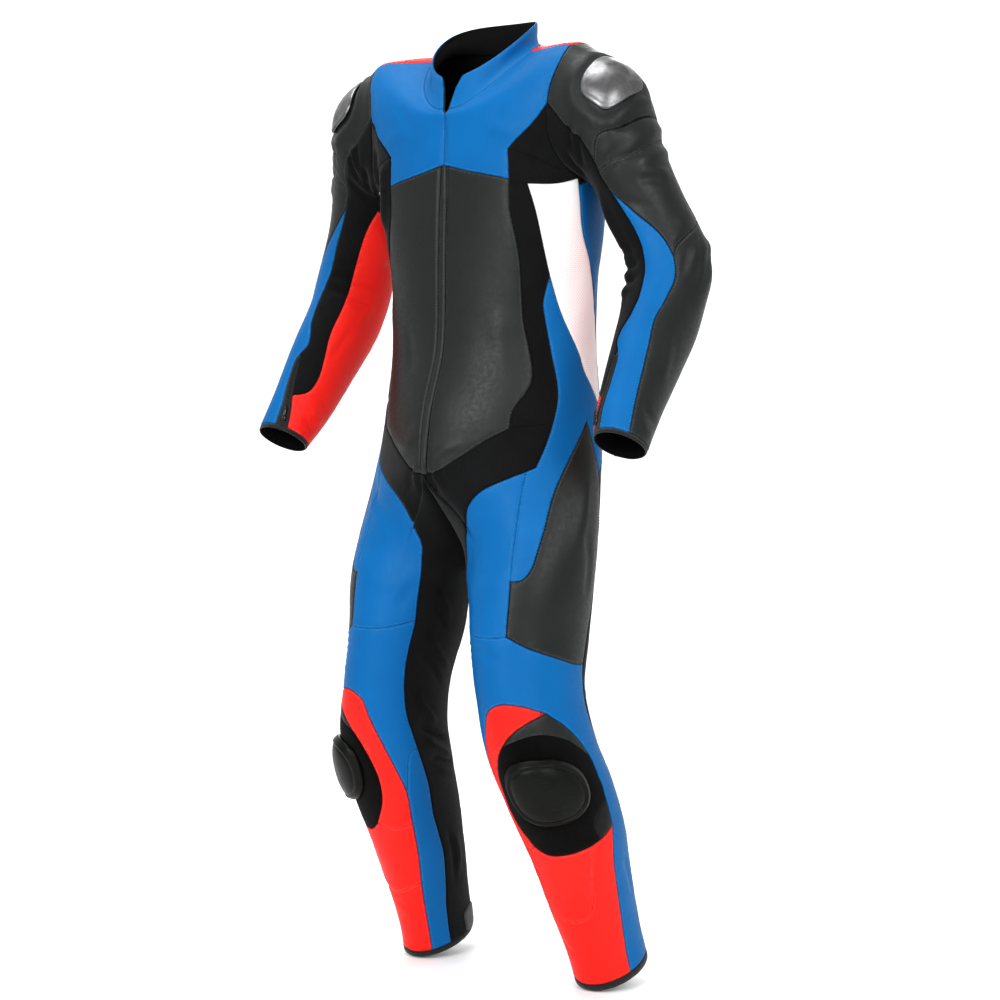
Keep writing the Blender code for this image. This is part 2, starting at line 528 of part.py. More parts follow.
class Sheet:
    """A surface cut into faces along its seams, in space, with its normals and areas."""

    def __init__(self, name):
        surface = SURFACES[name]
        self.scale = surface["scale"]
        pattern = Pattern(self.scale)
        (body_edges if name == "body" else sleeve_edges)(pattern)
        for table in surface["seams"].values():
            pattern.seam(table)
        dots = []
        for disc in DISC_ROWS:
            if disc["surface"] == name:
                pattern.loop(pattern.flat(disc_outline(disc, 1.0, DISC_POINTS)))
                dots += pattern.flat(disc_outline(disc, disc["edge"], DISC_POINTS))
        points = pattern.points + dots + filling(pattern, surface["facet"])
        found = geometry.delaunay_2d_cdt(points, pattern.lines, [], 0, 1e-6, True)
        self.flat = np.array(found[0])
        self.faces = [tuple(face) for face in found[2]]
        self.borders = {tuple(sorted(edge)) for edge, lines in zip(found[1], found[4]) if lines}
        self.turn, self.run = self.flat[:, 0] / self.scale, self.flat[:, 1]
        inside = [face for face in self.faces if name == "sleeve" or on_body(self.middle(face), self.scale)]
        self.faces = inside
        points = surface["points"](self.turn, self.run)
        points[np.abs(points[:, 0]) < 1e-6, 0] = 0
        self.points = points
        self.normals = self.smooth_normals()
        self.areas = self.find_areas()

    def middle(self, face):
        return self.flat[list(face)].mean(axis=0)

    def smooth_normals(self):
        """Normals at the points, averaged over the faces round each, also across the welded lines."""
        keys = [place_key(point) for point in self.points]
        sums = {key: np.zeros(3) for key in keys}
        for face in self.faces:
            a, b, c = self.points[list(face)]
            normal = np.cross(b - a, c - a)
            for k in face:
                sums[keys[k]] += normal
        normals = np.array([sums[key] for key in keys])
        normals[self.points[:, 0] == 0, 0] = 0
        lengths = np.linalg.norm(normals, axis=1, keepdims=True)
        return normals / np.maximum(lengths, 1e-12)

    def find_areas(self):
        """Numbers the areas between seams: one number for each face."""
        by_edge = {}
        for index, face in enumerate(self.faces):
            for a, b in zip(face, face[1:] + face[:1]):
                by_edge.setdefault(tuple(sorted((a, b))), []).append(index)
        areas = [-1] * len(self.faces)
        for start in range(len(self.faces)):
            if areas[start] >= 0:
                continue
            areas[start] = start
            stack = [start]
            while stack:
                face = self.faces[stack.pop()]
                for a, b in zip(face, face[1:] + face[:1]):
                    edge = tuple(sorted((a, b)))
                    if edge in self.borders:
                        continue
                    for other in by_edge[edge]:
                        if areas[other] < 0:
                            areas[other] = start
                            stack.append(other)
        return areas

    def area_at(self, turn, run):
        """The area that holds a point."""
        point = Vector((turn * self.scale, run))
        for face, area in zip(self.faces, self.areas):
            if geometry.intersect_point_tri_2d(point, *(self.flat[k] for k in face)):
                return area
        raise ValueError(f"no panel at {turn}, {run}")

    def piece(self, seeds, both):
        """The faces of the areas at the seeds, as points, normals and faces welded along shared lines."""
        wanted = {self.area_at(*seed) for seed in seeds}
        index, points, normals, sources, faces = {}, [], [], [], []
        for side in (1, -1) if both else (1,):
            flip = np.array([side, 1, 1])
            for face, area in zip(self.faces, self.areas):
                if area not in wanted:
                    continue
                corners = []
                for k in face:
                    key = place_key(self.points[k] * flip)
                    if key not in index:
                        index[key] = len(points)
                        points.append(self.points[k] * flip)
                        normals.append(self.normals[k] * flip)
                        sources.append(k)
                    corners.append(index[key])
                faces.append(tuple(corners[::side]))
        return np.array(points), np.array(normals), faces, sources


def share_normals(one, other):
    """Gives the points that two sheets share their mean normal, where the sheets face much the same way."""
    places = {place_key(point): k for k, point in enumerate(one.points)}
    own = one.normals.copy()
    for j, point in enumerate(other.points):
        k = places.get(place_key(point))
        if k is not None and own[k] @ other.normals[j] > SHARED_TURN:
            mean = own[k] + other.normals[j]
            one.normals[k] = other.normals[j] = mean / np.linalg.norm(mean)


def place_key(point):
    return tuple(round(float(value) * 1e6) for value in point)


def on_body(point, scale):
    """Whether a flat point lies on the body surface, outside its armhole."""
    turn, run = point[0] / scale, point[1]
    if run > HIP_RUN:
        hole = ((turn - ARMHOLE_TURN) / ARMHOLE_HALF_TURN) ** 2 + ((run - ARMHOLE_RUN) / ARMHOLE_HALF_RUN) ** 2
        front = np.interp(run, [r for t, r in COLLAR_FRONT], [t for t, r in COLLAR_FRONT])
        return front < turn < 180 and hole > 0.998
    return -90 < turn < 270


def border_edges(faces):
    """Directed edges that only one face has."""
    edges = {(a, b) for face in faces for a, b in zip(face, face[1:] + face[:1])}
    return [(a, b) for a, b in edges if (b, a) not in edges]


def draw_in(points, normals, faces, by):
    """Moves a piece's border inwards along the piece."""
    inward = {}
    for a, b in border_edges(faces):
        along = points[b] - points[a]
        for k in (a, b):
            side = np.cross(normals[k], along)
            inward.setdefault(k, []).append(side / np.linalg.norm(side))
    moved = points.copy()
    for k, sides in inward.items():
        mean = np.sum(sides, axis=0)
        length = np.linalg.norm(mean)
        if length > 0.2:
            mean /= length
            moved[k] += mean * by / max(0.45, mean @ sides[0])
    return moved


def walled(points, normals, faces, outside, inside, drawn):
    """A closed wall between two heights over a piece, its border drawn in. Heights may vary by point."""
    outside, inside = np.broadcast_to(outside, len(points)), np.broadcast_to(inside, len(points))
    drawn_points = draw_in(points, normals, faces, drawn)
    top = drawn_points + normals * outside[:, None]
    bottom = drawn_points + normals * inside[:, None]
    count = len(points)
    rim = []
    for a, b in border_edges(faces):
        # Neighbours split the wall between them the same way, so that their rims stay parallel.
        if rim_order(points[a]) < rim_order(points[b]):
            rim += [(b, a, b + count), (a, a + count, b + count)]
        else:
            rim += [(b, a, a + count), (b, a + count, b + count)]
    under = [tuple(k + count for k in reversed(face)) for face in faces]
    return np.concatenate([top, bottom]), faces + under + rim


def rim_order(point):
    x, y, z = place_key(point)
    return abs(x), y, z


def make_object(name, points, faces, finish, flip):
    """A mesh object. flip mirrors it to the wearer's right."""
    if flip:
        points = points * np.array([-1, 1, 1])
        faces = [tuple(reversed(face)) for face in faces]
    mesh = bpy.data.meshes.new(name)
    mesh.from_pydata([tuple(point) for point in points], [], faces)
    mesh.materials.append(finish)
    thing = bpy.data.objects.new(name, mesh)
    bpy.data.collections[COLLECTION].objects.link(thing)
    return thing


def make_finish(row):
    material = bpy.data.materials.new(row["name"])
    material.use_nodes = True
    shader = material.node_tree.nodes["Principled BSDF"]
    shader.inputs["Base Color"].default_value = (row["red"], row["green"], row["blue"], 1)
    shader.inputs["Metallic"].default_value = row["metallic"]
    shader.inputs["Roughness"].default_value = row["roughness"]
    material.diffuse_color = (row["red"], row["green"], row["blue"], 1)
    return material


def make_piece(node, side, points, faces, finish):
    """A centre piece once, or a piece for each side of the wearer."""
    if side == "centre":
        make_object(node, points, faces, finish, False)
    else:
        make_object(f"{node}_left", points, faces, finish, False)
        make_object(f"{node}_right", points, faces, finish, True)


def make_panel(sheet, panel, finish):
    points, normals, faces, _ = sheet.piece(panel["seeds"], panel["side"] == "centre")
    points, faces = walled(points, normals, faces, 0.0, -WALL, SEAM / 2)
    make_piece(panel["node"], panel["side"], points, faces, finish)


def make_disc(sheet, disc, finish):
    """A hard piece laid on a panel, domed towards its middle."""
    points, normals, faces, sources = sheet.piece([(disc["turn"], disc["run"])], False)
    across = (sheet.turn[sources] - disc["turn"]) / disc["half_turn"]
    along = (sheet.run[sources] - disc["run"]) / disc["half_run"]
    out = (np.abs(across) ** disc["square"] + np.abs(along) ** disc["square"]) ** (2 / disc["square"])
    height = DISC_GAP + disc["lift"] + disc["dome"] * (1 - np.minimum(out, 1))
    points, faces = walled(points, normals, faces, height, DISC_GAP, 0.0)
    make_piece(disc["node"], "pair", points, faces, finish)


def make_facing(sheet, finish):
    """The collar's inside facing."""
    points, normals, faces, _ = sheet.piece([(90, 1.53)], True)
    top, bottom = -WALL - SEAM, -WALL - SEAM - FACING_WALL
    points, faces = walled(points, normals, faces, top, bottom, FACING_MARGIN)
    make_piece("collar_facing", "centre", points, faces, finish)


def main():
    for thing in list(bpy.data.objects):
        bpy.data.objects.remove(thing)
    bpy.context.scene.collection.children.link(bpy.data.collections.new(COLLECTION))
    finishes = {row["name"]: make_finish(row) for row in rows(FINISH_COLUMNS, FINISHES)}
    sheets = {name: Sheet(name) for name in SURFACES}
    share_normals(sheets["body"], sheets["sleeve"])
    for panel in rows(PANEL_COLUMNS, PANELS):
        make_panel(sheets[panel["surface"]], panel, finishes[panel["finish"]])
    for disc in DISC_ROWS:
        make_disc(sheets[disc["surface"]], disc, finishes[disc["finish"]])
    make_facing(sheets["body"], finishes["black_stretch"])


main()
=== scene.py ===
import json
import math
from functools import partial

import bpy
import numpy as np
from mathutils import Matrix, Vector, geometry, kdtree, noise

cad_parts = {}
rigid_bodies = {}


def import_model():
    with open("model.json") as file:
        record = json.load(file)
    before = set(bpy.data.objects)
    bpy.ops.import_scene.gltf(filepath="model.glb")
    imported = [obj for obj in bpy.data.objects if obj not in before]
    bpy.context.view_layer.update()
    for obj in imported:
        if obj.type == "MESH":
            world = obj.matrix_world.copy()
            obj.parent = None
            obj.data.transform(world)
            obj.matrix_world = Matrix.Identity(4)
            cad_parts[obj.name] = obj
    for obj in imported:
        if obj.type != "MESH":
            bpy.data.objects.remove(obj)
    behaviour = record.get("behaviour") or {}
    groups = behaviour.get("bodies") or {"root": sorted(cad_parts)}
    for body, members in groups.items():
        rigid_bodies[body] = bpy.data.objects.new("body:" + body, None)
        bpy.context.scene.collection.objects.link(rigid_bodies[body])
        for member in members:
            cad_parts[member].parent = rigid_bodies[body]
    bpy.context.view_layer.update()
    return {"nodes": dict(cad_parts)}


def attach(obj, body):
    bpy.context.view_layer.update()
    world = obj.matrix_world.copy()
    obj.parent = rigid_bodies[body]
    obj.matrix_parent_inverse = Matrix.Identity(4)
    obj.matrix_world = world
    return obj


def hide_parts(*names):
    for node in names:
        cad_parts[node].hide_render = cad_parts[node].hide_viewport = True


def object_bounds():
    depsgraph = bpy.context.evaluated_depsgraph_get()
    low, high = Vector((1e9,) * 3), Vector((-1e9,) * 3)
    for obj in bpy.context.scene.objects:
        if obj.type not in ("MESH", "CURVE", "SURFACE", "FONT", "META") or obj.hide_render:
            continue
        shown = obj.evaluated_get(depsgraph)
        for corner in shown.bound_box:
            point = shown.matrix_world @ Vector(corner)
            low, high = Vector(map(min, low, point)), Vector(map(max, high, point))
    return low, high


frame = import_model()
print("frame loaded:", len(frame["nodes"]), "solids")

# A motorcycle race suit in worn pose. Metres, +Z up, front at -Y, the wearer's left at +X.
# A place on the suit is (turn, run): degrees round the limb, and metres along it.
# The left half is worked out, and the right half mirrors it with creases of its own.

legForm = {
    "columns": ("run", "x", "y", "z", "halfX", "halfY", "lean", "wrap"),
    "rings": (
        (0.00, 0.174, 0.11, -1.392, 0.053, 0.067, 21, 0),
        (0.05, 0.17, 0.096, -1.348, 0.052, 0.069, 22, 0),
        (0.15, 0.164, 0.063, -1.254, 0.06, 0.079, 22, 0),
        (0.23, 0.162, 0.034, -1.18, 0.068, 0.087, 20, 0),
        (0.31, 0.156, -0.002, -1.105, 0.073, 0.094, 14, 0),
        (0.38, 0.145, -0.034, -1.03, 0.075, 0.097, 5, 4),
        (0.46, 0.131, -0.042, -0.95, 0.072, 0.099, 0, 10),
        (0.54, 0.121, -0.031, -0.87, 0.078, 0.107, -2, 18),
        (0.62, 0.117, -0.024, -0.795, 0.09, 0.104, -3, 28),
    ),
}
torsoForm = {
    "columns": ("run", "halfX", "frontY", "sideY", "backY", "frontZ", "sideZ", "backZ", "frontSquare",
                "backSquare"),
    "rings": (
        (0.79, 0.207, -0.14, 0.002, 0.124, -0.622, -0.625, -0.615, 1.4, 2.2),
        (0.88, 0.184, -0.131, 0.036, 0.148, -0.535, -0.535, -0.53, 1.75, 2.2),
        (0.98, 0.171, -0.1, 0.038, 0.154, -0.435, -0.435, -0.43, 2.05, 2.2),
        (1.08, 0.174, -0.095, 0.034, 0.158, -0.335, -0.335, -0.33, 2.2, 2.2),
        (1.18, 0.19, -0.093, 0.022, 0.158, -0.235, -0.235, -0.23, 2.3, 2.3),
        (1.28, 0.201, -0.089, 0.008, 0.147, -0.145, -0.135, -0.125, 2.4, 2.4),
        (1.36, 0.204, -0.087, -0.005, 0.13, -0.11, -0.018, -0.05, 2.4, 2.4),
        (1.42, 0.187, -0.087, -0.012, 0.113, -0.092, 0.017, -0.012, 2.3, 2.3),
        (1.47, 0.144, -0.087, -0.014, 0.101, -0.08, 0.018, 0.012, 2.1, 2.1),
        (1.505, 0.09, -0.084, 0.008, 0.1, -0.073, 0.018, 0.028, 2.0, 2.0),
        (1.56, 0.081, -0.07, 0.012, 0.094, -0.022, 0.047, 0.077, 2.0, 2.0),
    ),
    "hipRun": 0.79,
    "topRun": 1.56,
    "centreFade": 0.05,  # nearer the centre plane than this, nothing bends to the side
    "crotch": {"y": 0.03, "z": -0.755, "frontBend": 2.0, "backBend": 1.4},
    "slit": ((0, 1.49), (2.8, 1.502), (5, 1.52), (9, 1.542), (15, 1.56)),  # the collar's open front
}
sleeveForm = {
    "columns": ("run", "x", "y", "z", "halfFront", "halfSide", "drop", "swing"),
    "rings": (
        (0.075, 0.2375, 0.022, -0.112, 0.073, 0.085, 24, 3),
        (0.15, 0.2555, 0.036, -0.17, 0.064, 0.06, 54, 8),
        (0.23, 0.271, 0.05, -0.222, 0.061, 0.06, 71, 10),
        (0.31, 0.301, 0.062, -0.29, 0.063, 0.059, 74, 6),
        (0.35, 0.31, 0.06, -0.33, 0.067, 0.059, 78, -8),
        (0.4, 0.312, 0.04, -0.378, 0.068, 0.054, 83, -24),
        (0.48, 0.316, -0.008, -0.448, 0.063, 0.048, 87, -30),
        (0.56, 0.32, -0.057, -0.52, 0.053, 0.043, 88, -30),
        (0.622, 0.328, -0.094, -0.574, 0.042, 0.04, 88, -30),
    ),
    "cuffRun": 0.622,
    "cut": -128.0,  # the seam down the inner back of the sleeve
    "cutRuns": (0, 0.105, 0.13, 0.205, 0.28, 0.616, 0.622),  # where seams meet it
}
armholeForm = {"turn": 92.0, "run": 1.33, "halfTurn": 39.0, "halfRun": 0.093, "points": 144}
swellForm = {
    "columns": ("surface", "turn", "run", "halfTurn", "halfRun", "height"),
    "rows": (
        ("body", -2, 0.71, 55, 0.1, -0.036),
        ("sleeve", -12, 0.345, 34, 0.075, 0.005),
    ),
}


def rowsOf(columns, rows):
    return [dict(zip(columns, row)) for row in rows]


legRows = rowsOf(legForm["columns"], legForm["rings"])
torsoRows = rowsOf(torsoForm["columns"], torsoForm["rings"])
sleeveRows = rowsOf(sleeveForm["columns"], sleeveForm["rings"])
swellRows = rowsOf(swellForm["columns"], swellForm["rows"])
hipRun, topRun = torsoForm["hipRun"], torsoForm["topRun"]


def legRing(row, turn):  # turn 0 is front centre, 90 the side, 180 back centre, -90 and 270 the inseam
    wrap = row["wrap"]
    innerFront = -90 + (turn + 90) * (90 - wrap) / 90
    innerBack = 180 + wrap + (turn - 180) * (90 - wrap) / 90
    outer = turn * (180 + 2 * wrap) / 180 - wrap
    at = np.radians(np.where((turn >= 0) & (turn <= 180), outer, np.where(turn < 0, innerFront, innerBack)))
    forward = -row["halfY"] * np.cos(at)
    lean = math.radians(row["lean"])
    x = row["x"] + row["halfX"] * np.sin(at)
    return np.stack([x, row["y"] + forward * math.cos(lean), row["z"] + forward * math.sin(lean)], axis=-1)


def torsoRing(row, turn):
    at = np.radians(np.clip(turn, 0, 180))
    cos, sin = np.cos(at), np.sin(at)
    power = 2 / np.where(cos > 0, row["frontSquare"], row["backSquare"])
    end = np.where(cos > 0, row["frontY"], row["backY"]) - row["sideY"]
    mean = (row["frontZ"] + row["backZ"]) / 2 - row["sideZ"]
    tip = (row["frontZ"] - row["backZ"]) / 2
    x = row["halfX"] * np.abs(sin) ** power
    y = row["sideY"] + end * np.abs(cos) ** power
    return np.stack([x, y, row["sideZ"] + mean * cos**2 + tip * cos], axis=-1)


def hipRing(turn):  # the lowest torso ring, with the crotch seam that closes it below
    row, crotch = torsoRows[0], torsoForm["crotch"]
    down = np.where(turn < 0, -turn, turn - 180)
    at = np.radians(np.clip(down, 0, 90))
    endY = np.where(turn < 0, row["frontY"], row["backY"])
    endZ = np.where(turn < 0, row["frontZ"], row["backZ"])
    bend = np.where(turn < 0, crotch["frontBend"], crotch["backBend"])
    y = crotch["y"] + (endY - crotch["y"]) * np.cos(at) ** bend
    z = endZ + (crotch["z"] - endZ) * np.sin(at) ** bend
    return np.where((down > 0)[..., None], np.stack([0 * y, y, z], axis=-1), torsoRing(row, turn))


def smoothThrough(runs, rings, run):  # a smooth curve through each column of ring points
    runs, rings = np.asarray(runs), np.asarray(rings)
    gaps = np.diff(runs)[:, None, None]
    slopes = np.diff(rings, axis=0) / gaps
    inner = (slopes[:-1] * gaps[1:] + slopes[1:] * gaps[:-1]) / (gaps[1:] + gaps[:-1])
    tangents = np.concatenate([slopes[:1], inner, slopes[-1:]])
    k = np.clip(np.searchsorted(runs, run) - 1, 0, len(runs) - 2)
    column = np.arange(len(run))
    gap = (runs[k + 1] - runs[k])[:, None]
    t = (run - runs[k])[:, None] / gap
    start = rings[k, column] * (2 * t**3 - 3 * t**2 + 1) + tangents[k, column] * gap * (t**3 - 2 * t**2 + t)
    end = rings[k + 1, column] * (3 * t**2 - 2 * t**3)
    return start + end + tangents[k + 1, column] * gap * (t**3 - t**2)


def swollen(name, plain, turn, run):
    points = plain(turn, run)
    height = np.zeros(len(points))
    for swell in swellRows:
        if swell["surface"] == name:
            across = (turn - swell["turn"]) / swell["halfTurn"]
            along = (run - swell["run"]) / swell["halfRun"]
            height += swell["height"] * (1 - np.minimum(across**2 + along**2, 1)) ** 2
    moved = height[:, None] * outwards(plain, turn, run)
    moved[:, 0] *= np.minimum(points[:, 0] / torsoForm["centreFade"], 1)
    return points + moved


def outwards(surface, turn, run, turnStep=0.5, runStep=0.002):
    across = surface(turn + turnStep, run) - surface(turn - turnStep, run)
    along = surface(turn, run + runStep) - surface(turn, run - runStep)
    normals = np.cross(across, along)
    return normals / np.maximum(np.linalg.norm(normals, axis=1, keepdims=True), 1e-12)


def plainBody(turn, run):  # leg, torso and collar in one
    hip = hipRing(turn)
    rings = [legRing(row, turn) for row in legRows] + [hip]
    inner = ((turn < 0) | (turn > 180))[:, None]
    ends = np.array([0.0, 180.0])
    front = np.where(turn < 0, 1 + turn / 180, (turn - 180) / 180)[:, None]
    for row in torsoRows[1:]:
        ahead = torsoRing(row, ends) - hipRing(ends)
        rings.append(np.where(inner, hip + ahead[0] * front + ahead[1] * (1 - front), torsoRing(row, turn)))
    points = smoothThrough([row["run"] for row in legRows + torsoRows], rings, run)
    above = torsoRows[1]
    part = (run - hipRun) / (above["run"] - hipRun)
    straight = hip[:, 0] + (torsoRing(above, turn)[:, 0] - hip[:, 0]) * part
    share = np.where((part > 0) & (part < 1), np.clip(straight / torsoForm["centreFade"], 0, 1), 1)
    points[:, 0] = straight + (points[:, 0] - straight) * share
    return points


def bodyPoints(turn, run):
    return swollen("body", plainBody, turn, run)


def armholeAt(turn):  # turn is the sleeve's: 0 at the top and 90 at the front
    at = np.radians(turn)
    form = armholeForm
    return form["turn"] - form["halfTurn"] * np.sin(at), form["run"] + form["halfRun"] * np.cos(at)


def sleeveRing(row, turn):
    at = np.radians(turn)
    drop, swing = math.radians(row["drop"]), math.radians(row["swing"])
    flat = math.cos(swing)
    axis = Vector((math.cos(drop) * flat, math.sin(swing), -math.sin(drop) * flat))
    front = Vector((0, -1, 0))
    front = (front - axis * front.dot(axis)).normalized()
    top = front.cross(axis)
    across = np.sin(at)[:, None] * np.array(front) * row["halfFront"]
    upright = np.cos(at)[:, None] * np.array(top) * row["halfSide"]
    return np.array([row["x"], row["y"], row["z"]]) + across + upright


def plainSleeve(turn, run):
    rings = [bodyPoints(*armholeAt(turn))] + [sleeveRing(row, turn) for row in sleeveRows]
    return smoothThrough([0.0] + [row["run"] for row in sleeveRows], rings, run)


def sleevePoints(turn, run):
    return swollen("sleeve", plainSleeve, turn, run)


def wrapTurn(turn):  # turns past the inner front seam, as the body's own
    return np.where(turn < -90, turn + 360, turn)


def curveAt(a, b, c, d, t):  # a smooth curve from b to c that heads from a and on to d
    return (2 * b + (c - a) * t + (2 * a - 5 * b + 4 * c - d) * t**2 + (3 * b - a - 3 * c + d) * t**3) / 2


def smoothStep(t):
    t = np.clip(t, 0, 1)
    return t * t * (3 - 2 * t)


# The seams, each a line of places. Between them lie the panels.
bodySeams = {
    "hem": ((-90, 0.012), (90, 0.012), (270, 0.012)),
    "neck": ((3, 1.505), (20, 1.505), (90, 1.505), (180, 1.505)),
    "shoulder": ((90, 1.505), (88.5, 1.46), (87.3, 1.422)),
    "yokeHem": ((0, 1.264), (9, 1.252), (21, 1.243), (32, 1.236)),
    "yokeSide": ((32, 1.236), (31, 1.262), (30, 1.288)),
    "yokeArm": ((30, 1.288), (35, 1.305), (44, 1.324), (53.4, 1.343)),
    "backYokeHem": ((129.8, 1.353), (150, 1.315), (180, 1.3)),
    "abdomenSide": (
        (32, 1.236), (34, 1.188), (39, 1.146), (43, 1.108), (45.5, 1.064), (47.2, 1.022),
        (51.9, 0.973), (53.5, 0.94), (50.7, 0.918), (45, 0.893), (43.3, 0.863),
    ),
    "abdomenHem": ((43.3, 0.863), (34, 0.845), (23, 0.817), (12, 0.795), (0, 0.79)),
    "zipEdge": ((1.05, 1.264), (1.3, 1.18), (1.7, 1.08), (2.2, 0.98), (3.3, 0.88), (5.0, 0.791)),
    "underarm": ((30, 1.288), (46, 1.27), (62, 1.253), (72.2, 1.25)),
    "whiteTop": ((43, 1.231), (60, 1.229), (81, 1.229)),
    "whiteFront": ((43, 1.231), (49, 1.19), (55, 1.145), (62.5, 1.092)),
    "bandFront": (
        (62.5, 1.092), (59, 1.054), (60, 1.031), (64, 0.982), (67.4, 0.921), (63.6, 0.87), (54.9, 0.805),
    ),
    "groin": ((43.3, 0.863), (53, 0.867), (63.6, 0.869)),
    "whiteLow": ((62.5, 1.092), (71.8, 1.036), (84.2, 0.981), (89.7, 0.944), (101, 0.906), (108.7, 0.899)),
    "whiteBack": (
        (81, 1.229), (82.8, 1.203), (86, 1.158), (100, 1.083), (110, 1.012), (112, 0.95), (108.7, 0.899),
    ),
    "armpit": ((81, 1.229), (91.7, 1.237)),
    "waistBack": ((108.7, 0.899), (130, 0.905), (152, 0.911), (180, 0.912)),
    "backSide": ((152, 1.314), (148, 1.2), (145, 1.1), (146, 1.00), (152, 0.911)),
    "thighFront": (
        (86, 0.874), (72.2, 0.822), (63.4, 0.771), (59, 0.711), (55.3, 0.672), (52, 0.65), (46.1, 0.636),
        (38.8, 0.634),
    ),
    "thighCorner": ((38.8, 0.634), (37.2, 0.609), (35.5, 0.575), (34.1, 0.549)),
    "thighLow": ((34.1, 0.549), (53.8, 0.531), (92.4, 0.508), (112, 0.503)),
    "thighBack": (
        (86, 0.874), (89, 0.859), (96, 0.823), (103, 0.794), (110, 0.75), (114, 0.7), (115, 0.64), (114, 0.57),
        (112, 0.503),
    ),
    "hipLow": ((103, 0.794), (125, 0.84), (140, 0.88), (152, 0.911)),
    "legInner": (
        (54.9, 0.805), (45, 0.79), (33, 0.769), (24.5, 0.746), (14, 0.714), (-5, 0.695), (-24, 0.68),
        (-29, 0.654), (-38, 0.594), (-45, 0.557), (-46.5, 0.52), (-49, 0.484), (-57, 0.426), (-70, 0.366),
        (-77, 0.306), (-74, 0.245), (-77, 0.181), (-74, 0.129), (-69, 0.077), (-68, 0.012),
    ),
    "hipFront": ((51.6, 0.798), (46, 0.72), (38.8, 0.634)),
    "thighSplit": ((-45, 0.557), (-10, 0.548), (20, 0.546), (34.1, 0.549)),
    "redInner": (
        (61.8, 0.44), (40.8, 0.451), (19.1, 0.453), (-0.7, 0.441), (-12, 0.421), (-32, 0.376), (-45, 0.335),
        (-51, 0.3), (-48, 0.254), (-44.6, 0.192), (-38.7, 0.125), (-35, 0.012),
    ),
    "kneeTop": ((61.8, 0.44), (38, 0.425), (16, 0.405), (-8, 0.372), (-22, 0.335), (-21, 0.298), (-5, 0.262)),
    "kneeLow": ((-5, 0.262), (9, 0.25), (26, 0.246), (53, 0.246), (82, 0.251), (97, 0.259)),
    "kneeOuter": ((61.8, 0.44), (82, 0.413), (98, 0.373), (101, 0.331), (99, 0.293), (97, 0.259)),
    "shinOuter": ((97, 0.259), (87, 0.208), (84, 0.149), (81, 0.09), (75, 0.012)),
    "shinTop": ((-5, 0.262), (-25, 0.25), (-48, 0.252)),
    "calfInner": ((-70, 0.362), (-60, 0.355), (-51, 0.3)),
    "legBack": ((112, 0.503), (122, 0.42), (140, 0.34), (144, 0.28), (136, 0.22), (130, 0.16), (132, 0.012)),
    "legInnerBack": ((225, 0.012), (225, 0.3), (225, 0.6), (233, 0.7), (242, 0.79)),
    "seatLow": ((114, 0.7), (150, 0.675), (190, 0.68), (233, 0.7)),
    # Stitched lines and inlays that stay inside one panel.
    "loopTop": ((-16, 0.352), (-7, 0.383), (25, 0.404), (52, 0.411), (76, 0.4), (88, 0.385), (99, 0.368)),
    "loopCorner": ((101, 0.302), (88, 0.299), (77, 0.289), (72, 0.272), (75, 0.25)),
    "shinPocket": (
        (62, 0.247), (58, 0.222), (51, 0.186), (50, 0.16), (43, 0.14), (30, 0.131), (10, 0.13), (-14, 0.137),
        (-28, 0.152),
    ),
}
sleeveSeams = {
    "cuff": ((-128, 0.616), (52, 0.616), (232, 0.616)),
    "cap": (
        (82, 0), (89, 0.015), (97.4, 0.033), (103.8, 0.058), (108.9, 0.09), (107.5, 0.123), (105.7, 0.151),
        (99, 0.183),
    ),
    "stripInner": (
        (99, 0.183), (89.9, 0.231), (86.7, 0.268), (88.6, 0.31), (87.3, 0.359), (84, 0.409), (91, 0.445),
        (103, 0.468), (107, 0.486), (98, 0.502), (93, 0.515), (94, 0.536), (97.5, 0.56), (104, 0.585),
        (109, 0.616),
    ),
    "stripOuter": (
        (99, 0.183), (74.6, 0.242), (59.3, 0.276), (48.5, 0.315), (43.9, 0.342), (40, 0.378), (44, 0.417),
        (48.9, 0.446), (45, 0.49), (41.5, 0.53), (39, 0.57), (38, 0.616),
    ),
    "elbow": (
        (45, 0.33), (38, 0.314), (17, 0.301), (-5, 0.292), (-30, 0.28), (-60, 0.272), (-95, 0.272), (-128, 0.28),
    ),
    "shoulder": ((108, 0.11), (88, 0.096), (50.5, 0.116), (0, 0.118), (-60, 0.112), (-128, 0.105)),
    "redTop": ((153, 0.165), (180, 0.172), (210, 0.188), (232, 0.205)),
    "zipInner": ((98, 0.502), (105, 0.521), (110.5, 0.546), (118, 0.567), (129, 0.592), (138, 0.616)),
    "redFront": (
        (153, 0.165), (130.6, 0.237), (127.4, 0.32), (130.6, 0.405), (133.9, 0.453), (144.9, 0.499),
        (149.6, 0.529), (143, 0.553), (118, 0.567),
    ),
    "bandLow": ((107, 0.133), (88, 0.137), (54.4, 0.148), (25, 0.149), (-5, 0.146), (-60, 0.138), (-128, 0.13)),
}

surfaceForms = {
    "body": {"points": bodyPoints, "scale": 0.0021, "seams": bodySeams},  # scale: metres of cloth to a degree
    "sleeve": {"points": sleevePoints, "scale": 0.0013, "seams": sleeveSeams},
}
meshLook = {
    "facet": 0.0062, "seamStep": 0.0052,  # size of the faces, and of their edges along a seam
    "rows": (0.0012, 0.0033), "rowClear": 0.93, "fillClear": 0.42,  # rows of points beside the seams
    "join": 0.002, "snap": 0.0011, "reach": 0.03,  # how far a seam's end may move to what is drawn
    "curveSteps": 12, "sample": 0.0008, "weld": 4e-6,
}


